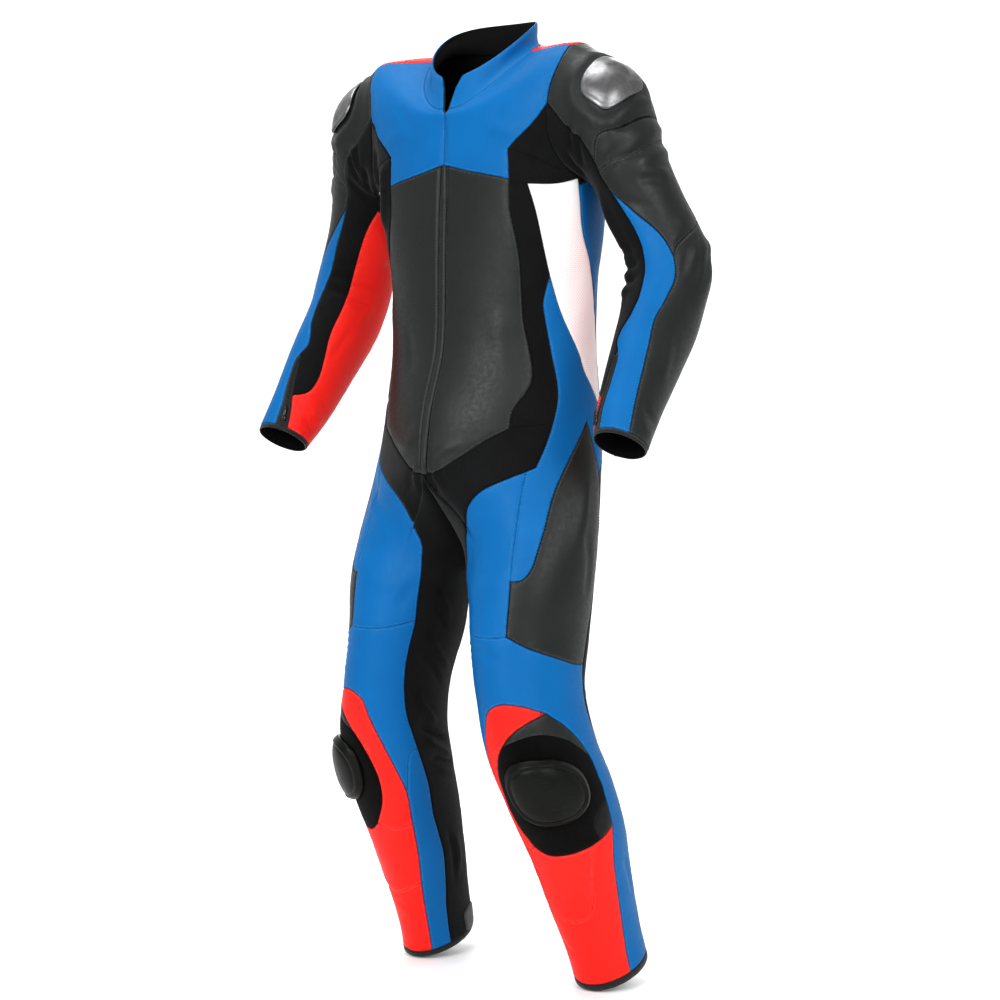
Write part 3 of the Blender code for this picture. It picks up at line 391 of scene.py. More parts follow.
class Pattern:  # one surface laid flat with its seams drawn: x is turn times the scale, y is run
    def __init__(self, scale):
        self.scale, self.points, self.lines, self.sewn = scale, [], [], set()

    def flat(self, places):
        return [Vector((turn * self.scale, run)) for turn, run in places]

    def add(self, point):
        self.points.append(point)
        return len(self.points) - 1

    def join(self, point):  # the point on what is already drawn that is nearest, or a new one
        gaps = [(older - point).length for older in self.points]
        if gaps and min(gaps) < meshLook["join"]:
            return gaps.index(min(gaps))
        best = None
        for line in self.lines:
            a, b = self.points[line[0]], self.points[line[1]]
            on, part = geometry.intersect_point_line(point, a, b)
            on = a if part <= 0 else b if part >= 1 else on
            gap = (on - point).length
            if gap < meshLook["reach"] and (best is None or gap < best[0]):
                best = (gap, line, on)
        if best is None:
            return self.add(point)
        for end in best[1]:
            if (self.points[end] - best[2]).length < meshLook["snap"]:
                return end
        middle = self.add(best[2])
        a, b = best[1]
        self.lines.remove(best[1])
        self.lines += [(a, middle), (middle, b)]
        if best[1] in self.sewn:
            self.sewn |= {(a, middle), (middle, b)}
        return middle

    def chain(self, points, ends, sewn):
        lengths = [0.0]
        for a, b in zip(points, points[1:]):
            lengths.append(lengths[-1] + (b - a).length)
        count = max(1, round(lengths[-1] / meshLook["seamStep"]))
        xs, ys = [p.x for p in points], [p.y for p in points]
        inner = [lengths[-1] * k / count for k in range(1, count)]
        run = [self.add(Vector((np.interp(at, lengths, xs), np.interp(at, lengths, ys)))) for at in inner]
        new = list(zip([ends[0]] + run, run + [ends[1]]))
        self.lines += new
        if sewn:
            self.sewn |= set(new)

    def edge(self, places):
        corners = self.flat(places)
        for a, b in zip(corners, corners[1:]):
            self.chain([a, b], (self.join(a), self.join(b)), False)

    def seam(self, places):
        given = self.flat(places)
        ends = (self.join(given[0]), self.join(given[-1]))
        given[0], given[-1] = self.points[ends[0]].copy(), self.points[ends[1]].copy()
        padded = [2 * given[0] - given[1]] + given + [2 * given[-1] - given[-2]]
        curve = [given[0]]
        steps = meshLook["curveSteps"]
        for near in zip(padded, padded[1:], padded[2:], padded[3:]):
            curve += [curveAt(*near, k / steps) for k in range(1, steps + 1)]
        self.chain(curve, ends, True)

    def loop(self, points):
        new = [self.add(point) for point in points]
        lines = list(zip(new, new[1:] + new[:1]))
        self.lines += lines
        self.sewn |= set(lines)


def armholeTurns():
    count = armholeForm["points"]
    return [sleeveForm["cut"] + 360 * k / count for k in range(count + 1)]


def drawBody(pattern):
    slit = torsoForm["slit"]
    pattern.edge(((-90, 0), (270, 0)))
    pattern.edge(((-90, 0), (-90, hipRun), (0, hipRun), slit[0]))
    pattern.edge(((270, 0), (270, hipRun), (180, hipRun), (180, topRun)))
    pattern.edge(slit)
    pattern.edge((slit[-1], (180, topRun)))
    pattern.loop(pattern.flat(armholeAt(turn) for turn in armholeTurns()[:-1]))


def drawSleeve(pattern):
    cut, cuffRun = sleeveForm["cut"], sleeveForm["cuffRun"]
    turns = armholeTurns()
    corners = pattern.flat((turn, 0) for turn in turns)
    last = [pattern.add(corner) for corner in corners]
    pattern.lines += list(zip(last, last[1:]))
    pattern.sewn |= set(zip(last, last[1:]))
    for turn in (cut, cut + 360):
        pattern.edge([(turn, run) for run in sleeveForm["cutRuns"]])
    pattern.edge(((cut, cuffRun), (cut + 360, cuffRun)))


def lineSamples(points, lines, gap):  # places close together along all the lines
    starts = np.array([points[a] for a, b in lines])
    steps = np.array([points[b] for a, b in lines]) - starts
    counts = np.maximum(1, np.ceil(np.linalg.norm(steps, axis=1) / gap)).astype(int)
    which = np.repeat(np.arange(len(lines)), counts)
    part = np.concatenate([np.arange(count) / count for count in counts])
    return starts[which] + steps[which] * part[:, None]


def treeOf(points):
    tree = kdtree.KDTree(len(points))
    for k, point in enumerate(points):
        tree.insert(point if len(point) == 3 else (point[0], point[1], 0), k)
    tree.balance()
    return tree


def fillPattern(pattern):  # rows of points along the seams, then evenly spaced points between them
    lines = pattern.lines
    samples = lineSamples(pattern.points, lines, meshLook["sample"])
    tree = treeOf(samples)
    starts = np.array([pattern.points[a] for a, b in lines])
    steps = np.array([pattern.points[b] for a, b in lines]) - starts
    lengths = np.linalg.norm(steps, axis=1, keepdims=True)
    sides = np.stack([-steps[:, 1], steps[:, 0]], axis=1) / np.maximum(lengths, 1e-9)
    kept = []
    low, high = samples.min(axis=0), samples.max(axis=0)
    for away in meshLook["rows"]:
        for side in (1, -1):
            for point in starts + steps / 2 + sides * side * away:
                gap = tree.find((point[0], point[1], 0))[2]
                if ((point > low) & (point < high)).all() and gap > away * meshLook["rowClear"]:
                    kept.append(Vector(point))
    facet = meshLook["facet"]
    rowHeight = facet * math.sqrt(3) / 2
    clear = meshLook["rows"][-1] + facet * meshLook["fillClear"]
    for k in range(int((high[1] - low[1]) / rowHeight)):
        y = low[1] + (k + 0.5) * rowHeight
        for x in np.arange(low[0] + facet * (0.25 + 0.5 * (k % 2)), high[0], facet):
            if tree.find((x, y, 0))[2] > clear:
                kept.append(Vector((x, y)))
    return kept


def onBody(flat, scale):  # whether flat points lie on the body, outside its armhole
    turn, run = flat[:, 0] / scale, flat[:, 1]
    form, slit = armholeForm, torsoForm["slit"]
    hole = ((turn - form["turn"]) / form["halfTurn"]) ** 2 + ((run - form["run"]) / form["halfRun"]) ** 2
    front = np.interp(run, [r for t, r in slit], [t for t, r in slit])
    upper = (front < turn) & (turn < 180) & (hole > 0.9995)  # a little less than 1, for the rounding
    return np.where(run > hipRun, upper, (turn > -90) & (turn < 270))


def edgesOf(faces):
    return np.concatenate([faces[:, [0, 1]], faces[:, [1, 2]], faces[:, [2, 0]]])


class Surface:  # a surface cut into fine faces along its seams
    def __init__(self, name):
        form = surfaceForms[name]
        self.name, self.scale, self.place = name, form["scale"], form["points"]
        pattern = Pattern(self.scale)
        (drawBody if name == "body" else drawSleeve)(pattern)
        for places in form["seams"].values():
            pattern.seam(places)
        filled = pattern.points + fillPattern(pattern)
        found = geometry.delaunay_2d_cdt(filled, pattern.lines, [], 0, 1e-6, True)
        self.flat = np.array([(p[0], p[1]) for p in found[0]])
        faces = np.array([tuple(face) for face in found[2]])
        if name == "body":
            faces = faces[onBody(self.flat[faces].mean(axis=1), self.scale)]
        self.faces = faces
        self.turn, self.run = self.flat[:, 0] / self.scale, self.flat[:, 1]
        sewn = [tuple(sorted(line)) for line in pattern.sewn]
        given = {}
        for index, source in enumerate(found[3]):
            for k in source:
                given[k] = index
        self.sewn = {tuple(sorted((given[a], given[b]))) for a, b in sewn if a in given and b in given}
        self.borders = {tuple(sorted(edge)) for edge, lines in zip(found[1], found[4]) if lines}
        self.points = self.place(self.turn, self.run)
        self.points[np.abs(self.points[:, 0]) < 1e-6, 0] = 0
        self.weld()
        self.smoothNormals()
        self.findAreas()
        print(name, "cut into", len(self.faces), "faces")

    def weld(self):  # points that lie at one place in space share a number
        self.ids = np.arange(len(self.points))
        ends = sorted({k for edge in self.borders for k in edge})
        tree = treeOf(self.points[ends])
        for j, k in enumerate(ends):
            near = [found[1] for found in tree.find_range(self.points[k], meshLook["weld"])]
            self.ids[k] = min(ends[m] for m in near)

    def smoothNormals(self):
        a, b, c = (self.points[self.faces[:, k]] for k in range(3))
        crossed = np.cross(b - a, c - a)
        self.faceAreas = np.linalg.norm(crossed, axis=1) / 2
        sums = np.zeros_like(self.points)
        for k in range(3):
            np.add.at(sums, self.ids[self.faces[:, k]], crossed)
        normals = sums[self.ids]
        normals[self.points[:, 0] == 0, 0] = 0
        self.normals = normals / np.maximum(np.linalg.norm(normals, axis=1, keepdims=True), 1e-12)

    def findAreas(self):  # numbers the areas between seams: one number for each face
        count = len(self.flat)
        edges = np.sort(edgesOf(self.faces), axis=1)
        keys = edges[:, 0] * count + edges[:, 1]
        owner = np.tile(np.arange(len(self.faces)), 3)
        closed = {a * count + b for a, b in self.borders}
        order = np.argsort(keys, kind="stable")
        keys, owner = keys[order], owner[order]
        same = np.nonzero(keys[1:] == keys[:-1])[0]
        near = [[] for _ in range(len(self.faces))]
        for k in same:
            if keys[k] not in closed:
                near[owner[k]].append(owner[k + 1])
                near[owner[k + 1]].append(owner[k])
        self.areas = np.full(len(self.faces), -1)
        for start in range(len(self.faces)):
            if self.areas[start] < 0:
                self.areas[start] = start
                stack = [start]
                while stack:
                    for other in near[stack.pop()]:
                        if self.areas[other] < 0:
                            self.areas[other] = start
                            stack.append(other)

    def areaAt(self, turn, run):
        p = np.array([turn * self.scale, run])
        a, b, c = (self.flat[self.faces[:, k]] for k in range(3))

        def side(u, v):
            return (v[:, 0] - u[:, 0]) * (p[1] - u[:, 1]) - (v[:, 1] - u[:, 1]) * (p[0] - u[:, 0])

        inside = (side(a, b) >= 0) & (side(b, c) >= 0) & (side(c, a) >= 0)
        return self.areas[np.nonzero(inside)[0][0]]

    def coverStrays(self):  # a sliver that no panel claims goes to the neighbour it shares most edge with
        sides = {}
        for index, face in enumerate(self.faces):
            for a, b in zip(face, np.roll(face, -1)):
                edge = (a, b) if a < b else (b, a)
                if edge in self.borders:
                    sides.setdefault(edge, []).append(self.areas[index])
        for area, owner in list(self.panelOf.items()):
            if not owner:
                shares = {}
                for edge, near in sides.items():
                    if area in near and len(near) == 2 and near[0] != near[1]:
                        other = near[0] if near[1] == area else near[1]
                        length = np.linalg.norm(self.points[edge[0]] - self.points[edge[1]])
                        shares[other] = shares.get(other, 0) + (length if self.panelOf[other] else 0)
                best = max(shares, key=shares.get)
                self.panelOf[area] = self.panelOf[best]
                next(panel for panel in panels if panel["node"] == self.panelOf[best])["areas"].add(area)

    def findSeams(self):  # lines between finishes or at free edges are strong, and the other sewn ones soft
        tops = {}
        for k in range(3):
            for index, (a, b) in enumerate(zip(self.faces[:, k], self.faces[:, (k + 1) % 3])):
                edge = (a, b) if a < b else (b, a)
                if edge in self.borders:
                    key = tuple(sorted((self.ids[a], self.ids[b])))
                    tops.setdefault(key, []).append((index, edge))
        self.strong, self.soft = [], []
        for faces in tops.values():
            edge = faces[0][1]
            nodes = {self.panelOf[self.areas[index]] for index, _ in faces}
            looks = {finishOf[node] for node in nodes}
            onCentre = len(faces) == 1 and all(self.points[k, 0] == 0 for k in edge)
            atArmhole = self.name == "sleeve" and all(self.run[k] < 1e-6 for k in edge)
            if len(looks) > 1 or atArmhole or len(faces) == 1 and not onCentre:
                self.strong.append(edge)
            elif onCentre and sideOf[next(iter(nodes))] != "centre" or any(e in self.sewn for _, e in faces):
                self.soft.append(edge)


# The panels: each replaces a solid, or a pair of them. seeds lie one in each area that a panel takes up.
leatherCut = {"wall": 0.0025, "held": "hung"}
stretchCut = {"wall": 0.0025, "held": "stretched"}
panelColumns = ("node", "surface", "side", "finish", "seeds", "cut")
panelRows = (
    ("chest_yoke", "body", "pair", "blue_leather", ((15, 1.35),), leatherCut),
    ("back_yoke", "body", "centre", "red_leather", ((160, 1.4),), leatherCut),
    ("collar", "body", "centre", "blue_leather", ((90, 1.53),), leatherCut),
    ("shoulder_stretch", "body", "pair", "black_stretch", ((52, 1.285),), stretchCut),
    ("side_stretch", "body", "pair", "black_stretch", ((40, 1.25), (56, 1.00), (87, 1.235)), stretchCut),
    ("abdomen", "body", "pair", "charcoal_leather", ((20, 1.1),), leatherCut),
    ("front_zip", "body", "centre", "zip_black", ((0.5, 1.1),), leatherCut),
    ("side_panel", "body", "pair", "white_leather", ((75, 1.15),), leatherCut),
    ("back_side", "body", "pair", "blue_leather", ((125, 1.1),), leatherCut),
    ("back_centre", "body", "centre", "charcoal_leather", ((170, 1.1),), leatherCut),
    ("hip_band", "body", "pair", "blue_leather", ((68, 0.85),), leatherCut),
    ("seat", "body", "centre", "charcoal_leather", ((170, 0.8),), leatherCut),
    ("thigh_front", "body", "pair", "blue_leather", ((20, 0.65),), leatherCut),
    ("thigh_side", "body", "pair", "charcoal_leather", ((85, 0.65),), leatherCut),
    ("thigh_back", "body", "pair", "black_stretch", ((170, 0.4),), stretchCut),
    ("leg_inner", "body", "pair", "black_stretch", ((-80, 0.5), (260, 0.5)), stretchCut),
    ("knee_arch", "body", "pair", "blue_leather", ((20, 0.5),), leatherCut),
    ("calf_inner", "body", "pair", "blue_leather", ((-58, 0.2),), leatherCut),
    ("knee_red", "body", "pair", "red_leather", ((-30, 0.33),), leatherCut),
    ("knee_base", "body", "pair", "black_stretch", ((38, 0.338), (50, 0.424), (90, 0.285)), stretchCut),
    ("shin", "body", "pair", "red_leather", ((30, 0.15), (10, 0.08)), leatherCut),
    ("leg_hem", "body", "pair", "zip_black", ((0, 0.006),), stretchCut),
    ("shoulder_cap", "sleeve", "pair", "charcoal_leather", ((-40, 0.06),), leatherCut),
    ("upper_arm", "sleeve", "pair", "charcoal_leather", ((0, 0.125), (0, 0.18)), leatherCut),
    ("forearm", "sleeve", "pair", "charcoal_leather", ((0, 0.45),), leatherCut),
    ("arm_strip", "sleeve", "pair", "blue_leather", ((65, 0.4),), leatherCut),
    ("arm_stretch", "sleeve", "pair", "black_stretch", ((110, 0.3),), stretchCut),
    ("arm_red", "sleeve", "pair", "red_leather", ((180, 0.4),), leatherCut),
    ("wrist_zip", "sleeve", "pair", "zip_black", ((108, 0.56),), stretchCut),
    ("cuff", "sleeve", "pair", "zip_black", ((50, 0.619),), stretchCut),
)

panels = rowsOf(panelColumns, panelRows)
sideOf = {panel["node"]: panel["side"] for panel in panels}
finishOf = {panel["node"]: panel["finish"] for panel in panels}
surfaces = {name: Surface(name) for name in surfaceForms}
body, sleeve = surfaces["body"], surfaces["sleeve"]
for surface in surfaces.values():
    surface.panelOf = {area: "" for area in set(surface.areas.tolist())}
for panel in panels:
    surface = surfaces[panel["surface"]]
    panel["areas"] = {surface.areaAt(*seed) for seed in panel["seeds"]}
    for area in panel["areas"]:
        surface.panelOf[area] = panel["node"]
for surface in surfaces.values():
    surface.coverStrays()
    surface.findSeams()

# The armhole seam: both surfaces share its points, so they share normals there too.
ring = [k for k in range(len(sleeve.points)) if sleeve.run[k] < 1e-6]
bodyTree = treeOf(body.points)
sharedTurn = 0.2  # where the surfaces meet more sharply than this, they keep their own normals
for k in ring:
    _, j, gap = bodyTree.find(sleeve.points[k])
    if gap < 1e-4:
        sleeve.points[k] = body.points[j]
        if body.normals[j] @ sleeve.normals[k] > sharedTurn:
            mean = body.normals[j] + sleeve.normals[k]
            body.normals[j] = sleeve.normals[k] = mean / np.linalg.norm(mean)

seamSample = 0.0011
strongTree, softTree = (treeOf(np.concatenate(
    [lineSamples(surface.points, getattr(surface, kind), seamSample) for surface in surfaces.values()]))
    for kind in ("strong", "soft"))
armholeTree = treeOf(sleeve.points[ring])
print("seams found")

kneeSlider = {
    "node": "knee_slider", "surface": "body", "turn": 38, "run": 0.338, "halfTurn": 42, "halfRun": 0.042,
    "square": 2.3, "base": 0.0003, "finish": "slider_plastic",
    # (share of the outline, height): flange, bevelled side, rim, ring groove, domed face
    "profile": ((1.0, 0.0), (1.0, 0.004), (0.985, 0.0062), (0.95, 0.0085), (0.9, 0.0112), (0.875, 0.0126),
                (0.85, 0.0132), (0.825, 0.013), (0.805, 0.012), (0.79, 0.0116), (0.77, 0.0124), (0.74, 0.0136),
                (0.68, 0.0148), (0.58, 0.0162), (0.45, 0.0175), (0.3, 0.0184), (0.15, 0.0188)),
    "top": 0.019,
}
shoulderPlate = {
    "node": "shoulder_plate", "surface": "sleeve", "turn": 29, "run": 0.065, "halfTurn": 38, "halfRun": 0.03,
    "square": 3.0, "base": 0.0003, "finish": "brushed_metal",
    "profile": ((1.0, 0.0), (1.0, 0.0015), (0.992, 0.0028), (0.97, 0.0037), (0.94, 0.004), (0.9, 0.0041),
                (0.86, 0.004), (0.82, 0.0042), (0.72, 0.005), (0.58, 0.0058), (0.42, 0.0064), (0.22, 0.0068)),
    "top": 0.007,
}
plateRims = (  # a groove and a ridge of leather round the shoulder plate: height, distance and half width
    (-0.0026, 0.0015, 0.005),
    (0.0026, 0.0105, 0.0068),
)


def superEllipse(form, part, count):
    power = 2 / form["square"]
    at = math.tau * (np.arange(count) + 0.5) / count
    across = np.sign(np.cos(at)) * np.abs(np.cos(at)) ** power * part
    along = np.sign(np.sin(at)) * np.abs(np.sin(at)) ** power * part
    return form["turn"] + across * form["halfTurn"], form["run"] + along * form["halfRun"]


def discShare(form, turn, run):  # 1 on the outline of a slider or plate, and less inside
    across = np.abs((turn - form["turn"]) / form["halfTurn"])
    along = np.abs((run - form["run"]) / form["halfRun"])
    return (across ** form["square"] + along ** form["square"]) ** (1 / form["square"])


# Creases by surface and side: a line along the crest or the bottom, how wide it is to each side, and how high.
creaseRows = {
    ("body", "both"): (
        # Front of the body and groin.
        (((5, 0.806), (7, 0.78), (6, 0.755)), 0.007, -0.0036),
        (((12, 0.805), (16, 0.785), (18, 0.768)), 0.008, -0.0028),
        (((8, 0.806), (12, 0.784), (11, 0.762)), 0.006, 0.0022),
        (((18, 1.37), (26, 1.335), (36, 1.315)), 0.016, 0.0016),
        # Hips and thighs.
        (((90, 0.72), (98, 0.66), (99, 0.6)), 0.014, -0.0024),
        (((-28, 0.64), (-20, 0.6), (-14, 0.57)), 0.014, -0.0018),
        # Inside of the thighs and behind the knees.
        (((-58, 0.612), (-76, 0.59), (-96, 0.56)), 0.008, 0.003),
        (((-52, 0.59), (-74, 0.566), (-92, 0.54)), 0.008, -0.003),
        (((-62, 0.54), (-84, 0.512), (-124, 0.468)), 0.009, 0.004),
        (((-56, 0.52), (-80, 0.49), (-112, 0.446)), 0.008, -0.0034),
        (((-66, 0.448), (-84, 0.418), (-103, 0.388)), 0.008, 0.0036),
        (((-70, 0.4), (-92, 0.378), (-130, 0.352)), 0.008, -0.0072),
        (((-84, 0.345), (-104, 0.33), (-128, 0.312)), 0.008, -0.005),
        (((-88, 0.322), (-108, 0.304), (-126, 0.29)), 0.01, 0.0026),
        (((206, 0.425), (188, 0.412), (160, 0.405), (132, 0.412)), 0.009, -0.0042),
        (((214, 0.398), (190, 0.39), (164, 0.386)), 0.009, 0.004),
        (((218, 0.372), (192, 0.368), (158, 0.372), (146, 0.378)), 0.008, -0.0046),
        (((210, 0.345), (186, 0.345), (160, 0.352)), 0.009, 0.003),
        (((216, 0.455), (190, 0.448), (150, 0.452), (128, 0.46)), 0.013, 0.003),
        (((218, 0.655), (186, 0.64), (140, 0.645)), 0.013, -0.0032),
        (((224, 0.5), (196, 0.495), (160, 0.505)), 0.012, -0.0022),
        # Seat and small of the back.
        (((226, 0.715), (196, 0.715), (150, 0.705), (124, 0.72)), 0.012, -0.003),
        (((180, 0.955), (160, 0.95), (138, 0.96), (118, 0.985)), 0.012, -0.003),
        (((180, 0.99), (164, 0.986), (142, 1.000), (122, 1.02)), 0.012, 0.0026),
        (((104, 1.03), (112, 1.07), (118, 1.12)), 0.014, -0.002),
        (((110, 1.27), (124, 1.3), (134, 1.34)), 0.015, 0.0024),
        # Shins and ankles.
        (((61, 0.238), (58, 0.222), (51, 0.186), (50, 0.16), (43, 0.14), (30, 0.131), (10, 0.13),
          (-14, 0.137)), 0.006, -0.003),
        (((50, 0.236), (47, 0.214), (42, 0.184), (40, 0.16), (34, 0.149), (10, 0.142),
          (-10, 0.149)), 0.009, 0.0016),
        (((-40, 0.232), (-28, 0.218), (-12, 0.214)), 0.01, -0.0018),
        (((-96, 0.2), (-104, 0.16), (-98, 0.115)), 0.012, 0.0026),
        (((-86, 0.225), (-92, 0.17), (-88, 0.1)), 0.01, -0.0024),
        (((180, 0.1), (196, 0.074), (214, 0.062)), 0.01, -0.0026),
        (((150, 0.12), (168, 0.085), (190, 0.052)), 0.011, 0.0022),
        (((104, 0.2), (112, 0.16), (118, 0.11)), 0.012, -0.002),
        # Armpits.
        (((36, 1.274), (50, 1.262), (64, 1.258)), 0.006, -0.0022),
        (((44, 1.3), (52, 1.288), (60, 1.284)), 0.006, -0.0024),
        (((42, 1.312), (54, 1.304), (58, 1.302)), 0.006, 0.002),
    ),
    ("body", "left"): (
        (((4, 0.802), (14, 0.826), (26, 0.846)), 0.009, 0.0022),
        (((30, 1.05), (34, 0.99), (38, 0.94)), 0.02, 0.0016),
        (((46, 0.915), (53, 0.897), (60, 0.885)), 0.007, -0.0022),
        (((30, 1.44), (26, 1.4), (20, 1.36)), 0.014, -0.0014),
        (((44, 0.775), (34, 0.74), (18, 0.7)), 0.012, -0.002),
        (((80, 0.8), (84, 0.74), (80, 0.66)), 0.018, 0.002),
        (((-5, 0.535), (14, 0.52), (30, 0.515)), 0.01, -0.0016),
        (((-80, 0.368), (-98, 0.345), (-118, 0.33)), 0.009, 0.003),
        (((212, 0.6), (186, 0.585), (150, 0.58)), 0.013, -0.0024),
        (((172, 1.022), (150, 1.028), (128, 1.052)), 0.01, -0.0024),
        (((140, 1.24), (150, 1.26), (166, 1.275)), 0.015, -0.002),
        (((-32, 0.1), (-20, 0.08), (-4, 0.072)), 0.01, -0.0016),
    ),
    ("body", "right"): (
        (((26, 0.84), (18, 0.836), (9, 0.85)), 0.01, 0.003),
        (((30, 0.868), (19, 0.862), (8, 0.88)), 0.009, -0.0022),
        (((26, 1.03), (22, 0.985), (17, 0.94)), 0.015, -0.0022),
        (((44, 0.925), (52, 0.905), (61, 0.9)), 0.008, -0.0026),
        (((34, 1.45), (24, 1.42), (14, 1.38)), 0.016, -0.0016),
        (((66, 0.795), (48, 0.757), (26, 0.708)), 0.013, -0.0026),
        (((60, 0.762), (40, 0.72), (20, 0.672)), 0.012, 0.002),
        (((48, 0.482), (72, 0.478), (98, 0.47)), 0.015, 0.0048),
        (((50, 0.454), (72, 0.449), (96, 0.442)), 0.009, -0.0036),
        (((-78, 0.372), (-100, 0.35), (-124, 0.322)), 0.011, 0.0064),
        (((200, 0.322), (180, 0.322), (158, 0.332)), 0.008, -0.0026),
        (((214, 0.575), (184, 0.562), (146, 0.566)), 0.012, -0.0026),
        (((176, 1.03), (156, 1.034), (136, 1.046)), 0.011, -0.0024),
        (((136, 1.26), (148, 1.27), (160, 1.27)), 0.014, -0.002),
        (((14, 0.112), (-8, 0.106), (-30, 0.112)), 0.008, -0.002),
        (((10, 0.1), (-10, 0.094), (-26, 0.098)), 0.008, 0.0014),
        # The body draws in under the arm, and a fold of stretch stands before the side panel.
        (((66, 1.42), (63, 1.3), (61, 1.2), (59, 1.11), (57, 1.03)), 0.042, -0.014),
        (((37, 1.282), (38, 1.254), (42, 1.196), (46, 1.16)), 0.013, 0.007),
    ),
    ("sleeve", "both"): (
        # Shoulders and upper arms.
        (((68, 0.111), (50, 0.116), (25, 0.1175), (0, 0.118), (-32, 0.115)), 0.0068, -0.0036),
        (((68, 0.145), (54, 0.148), (25, 0.149), (-5, 0.146), (-40, 0.141)), 0.0068, -0.0038),
        (((60, 0.097), (30, 0.101), (0, 0.104), (-30, 0.101)), 0.01, 0.0024),
        (((60, 0.172), (38, 0.178), (14, 0.19), (-10, 0.2)), 0.011, 0.0024),
        (((56, 0.19), (36, 0.198), (10, 0.212)), 0.009, -0.002),
        (((-30, 0.128), (-62, 0.122), (-98, 0.116)), 0.007, -0.0028),
        (((-24, 0.165), (-60, 0.16), (-104, 0.15)), 0.008, -0.003),
        (((74, 0.076), (80, 0.1), (82, 0.122)), 0.008, -0.0014),
        (((-60, 0.215), (-92, 0.225), (-120, 0.232)), 0.011, -0.0026),
        (((64, 0.13), (30, 0.132), (0, 0.132), (-50, 0.125), (-100, 0.118)), 0.0125, 0.004),
        (((62, 0.161), (30, 0.163), (0, 0.162), (-50, 0.154), (-100, 0.146)), 0.013, 0.0034),
        # Armpits.
        (((90, 0.036), (106, 0.04), (122, 0.05)), 0.007, -0.0044),
        (((96, 0.056), (114, 0.062), (136, 0.078)), 0.007, -0.004),
        (((92, 0.046), (110, 0.052), (128, 0.064)), 0.006, 0.0026),
        (((118, 0.028), (138, 0.038), (156, 0.082)), 0.008, -0.0046),
        (((138, 0.026), (152, 0.044), (166, 0.092)), 0.008, 0.0034),
        (((160, 0.03), (172, 0.06), (180, 0.105)), 0.009, -0.004),
        (((190, 0.04), (202, 0.08), (214, 0.12)), 0.01, 0.0028),
        # Elbows.
        (((45, 0.326), (38, 0.311), (17, 0.298), (-5, 0.289), (-36, 0.277)), 0.006, -0.0028),
        (((30, 0.33), (8, 0.326), (-20, 0.32), (-44, 0.318)), 0.02, 0.0036),
        (((30, 0.278), (10, 0.274), (-20, 0.262)), 0.014, 0.0022),
        (((-4, 0.292), (16, 0.332), (22, 0.372)), 0.006, 0.002),
        (((-14, 0.294), (2, 0.34), (6, 0.386)), 0.006, 0.0018),
        (((-26, 0.292), (-16, 0.335), (-14, 0.38)), 0.006, 0.0018),
        (((8, 0.3), (29, 0.338), (33, 0.378)), 0.005, -0.0016),
        (((92, 0.318), (112, 0.326), (140, 0.33), (176, 0.326)), 0.008, -0.003),
        (((96, 0.342), (116, 0.346), (146, 0.35), (190, 0.346)), 0.009, 0.0022),
        (((92, 0.362), (114, 0.366), (150, 0.372), (196, 0.368)), 0.008, -0.003),
        (((98, 0.388), (120, 0.39), (154, 0.398)), 0.009, 0.0024),
        (((210, 0.318), (190, 0.3), (170, 0.296)), 0.009, -0.003),
        (((98, 0.29), (118, 0.292), (144, 0.286)), 0.009, -0.0024),
        # Forearms and wrists.
        (((152, 0.588), (178, 0.596), (206, 0.6)), 0.0055, -0.0026),
        (((160, 0.57), (184, 0.578), (208, 0.584)), 0.0065, 0.0022),
        (((164, 0.555), (186, 0.56), (212, 0.566)), 0.006, -0.0018),
        (((-50, 0.4), (-72, 0.44), (-84, 0.5)), 0.014, -0.002),
        (((20, 0.45), (10, 0.49), (2, 0.53)), 0.015, 0.0018),
    ),
    ("sleeve", "left"): (
        (((40, 0.127), (20, 0.13), (0, 0.131)), 0.005, -0.0012),
        (((84, 0.205), (66, 0.232), (42, 0.252)), 0.012, -0.0018),
        # A long soft fold that hides the red along the inner edge of the sleeve.
        (((130, 0.14), (125, 0.22), (123, 0.3), (123, 0.38), (126, 0.45)), 0.014, 0.006),
        (((148, 0.15), (142, 0.22), (139, 0.3), (139, 0.38), (142, 0.45)), 0.013, -0.006),
        (((176, 0.41), (168, 0.45), (166, 0.492)), 0.012, -0.0022),
        (((34, 0.556), (4, 0.576), (-34, 0.58)), 0.01, -0.002),
        (((26, 0.586), (0, 0.598), (-30, 0.596)), 0.009, 0.0014),
    ),
    ("sleeve", "right"): (
        (((-38, 0.184), (-70, 0.182), (-100, 0.176)), 0.01, 0.0024),
        (((20, 0.205), (0, 0.23), (-24, 0.24)), 0.014, -0.002),
        (((110, 0.098), (128, 0.112), (150, 0.122)), 0.009, -0.003),
        (((92, 0.412), (112, 0.43), (138, 0.452)), 0.009, -0.0024),
        (((160, 0.42), (158, 0.46), (154, 0.5)), 0.01, -0.0022),
        (((170, 0.355), (168, 0.395), (164, 0.438)), 0.01, 0.002),
    ),
}
creaseLook = {"taper": 0.32, "armholeFade": 0.016, "centreFade": 0.02}
ribRows = (  # accordion ribs: where they lie, how far apart they are and how deep
    {"surface": "body", "turn": 14, "run": 0.508, "halfTurn": 52, "halfRun": 0.034,
     "pitch": 0.0105, "height": 0.0011},
    {"surface": "sleeve", "turn": 20, "run": 0.134, "halfTurn": 100, "halfRun": 0.016,
     "pitch": 0.008, "height": 0.0007},
)
ribLook = {"fade": 0.2, "seamFade": 0.004}
waveRows = (  # how uneven the leather is: size, height and shift of each wave
    (0.095, 0.0011, (3.1, 7.7, 1.3)),
    (0.028, 0.0003, (9.2, 0.4, 5.8)),
)
puckerLook = {"size": 0.013, "height": 0.0005, "shift": (1.9, 4.4, 8.1), "reach": 0.01}  # along the seams
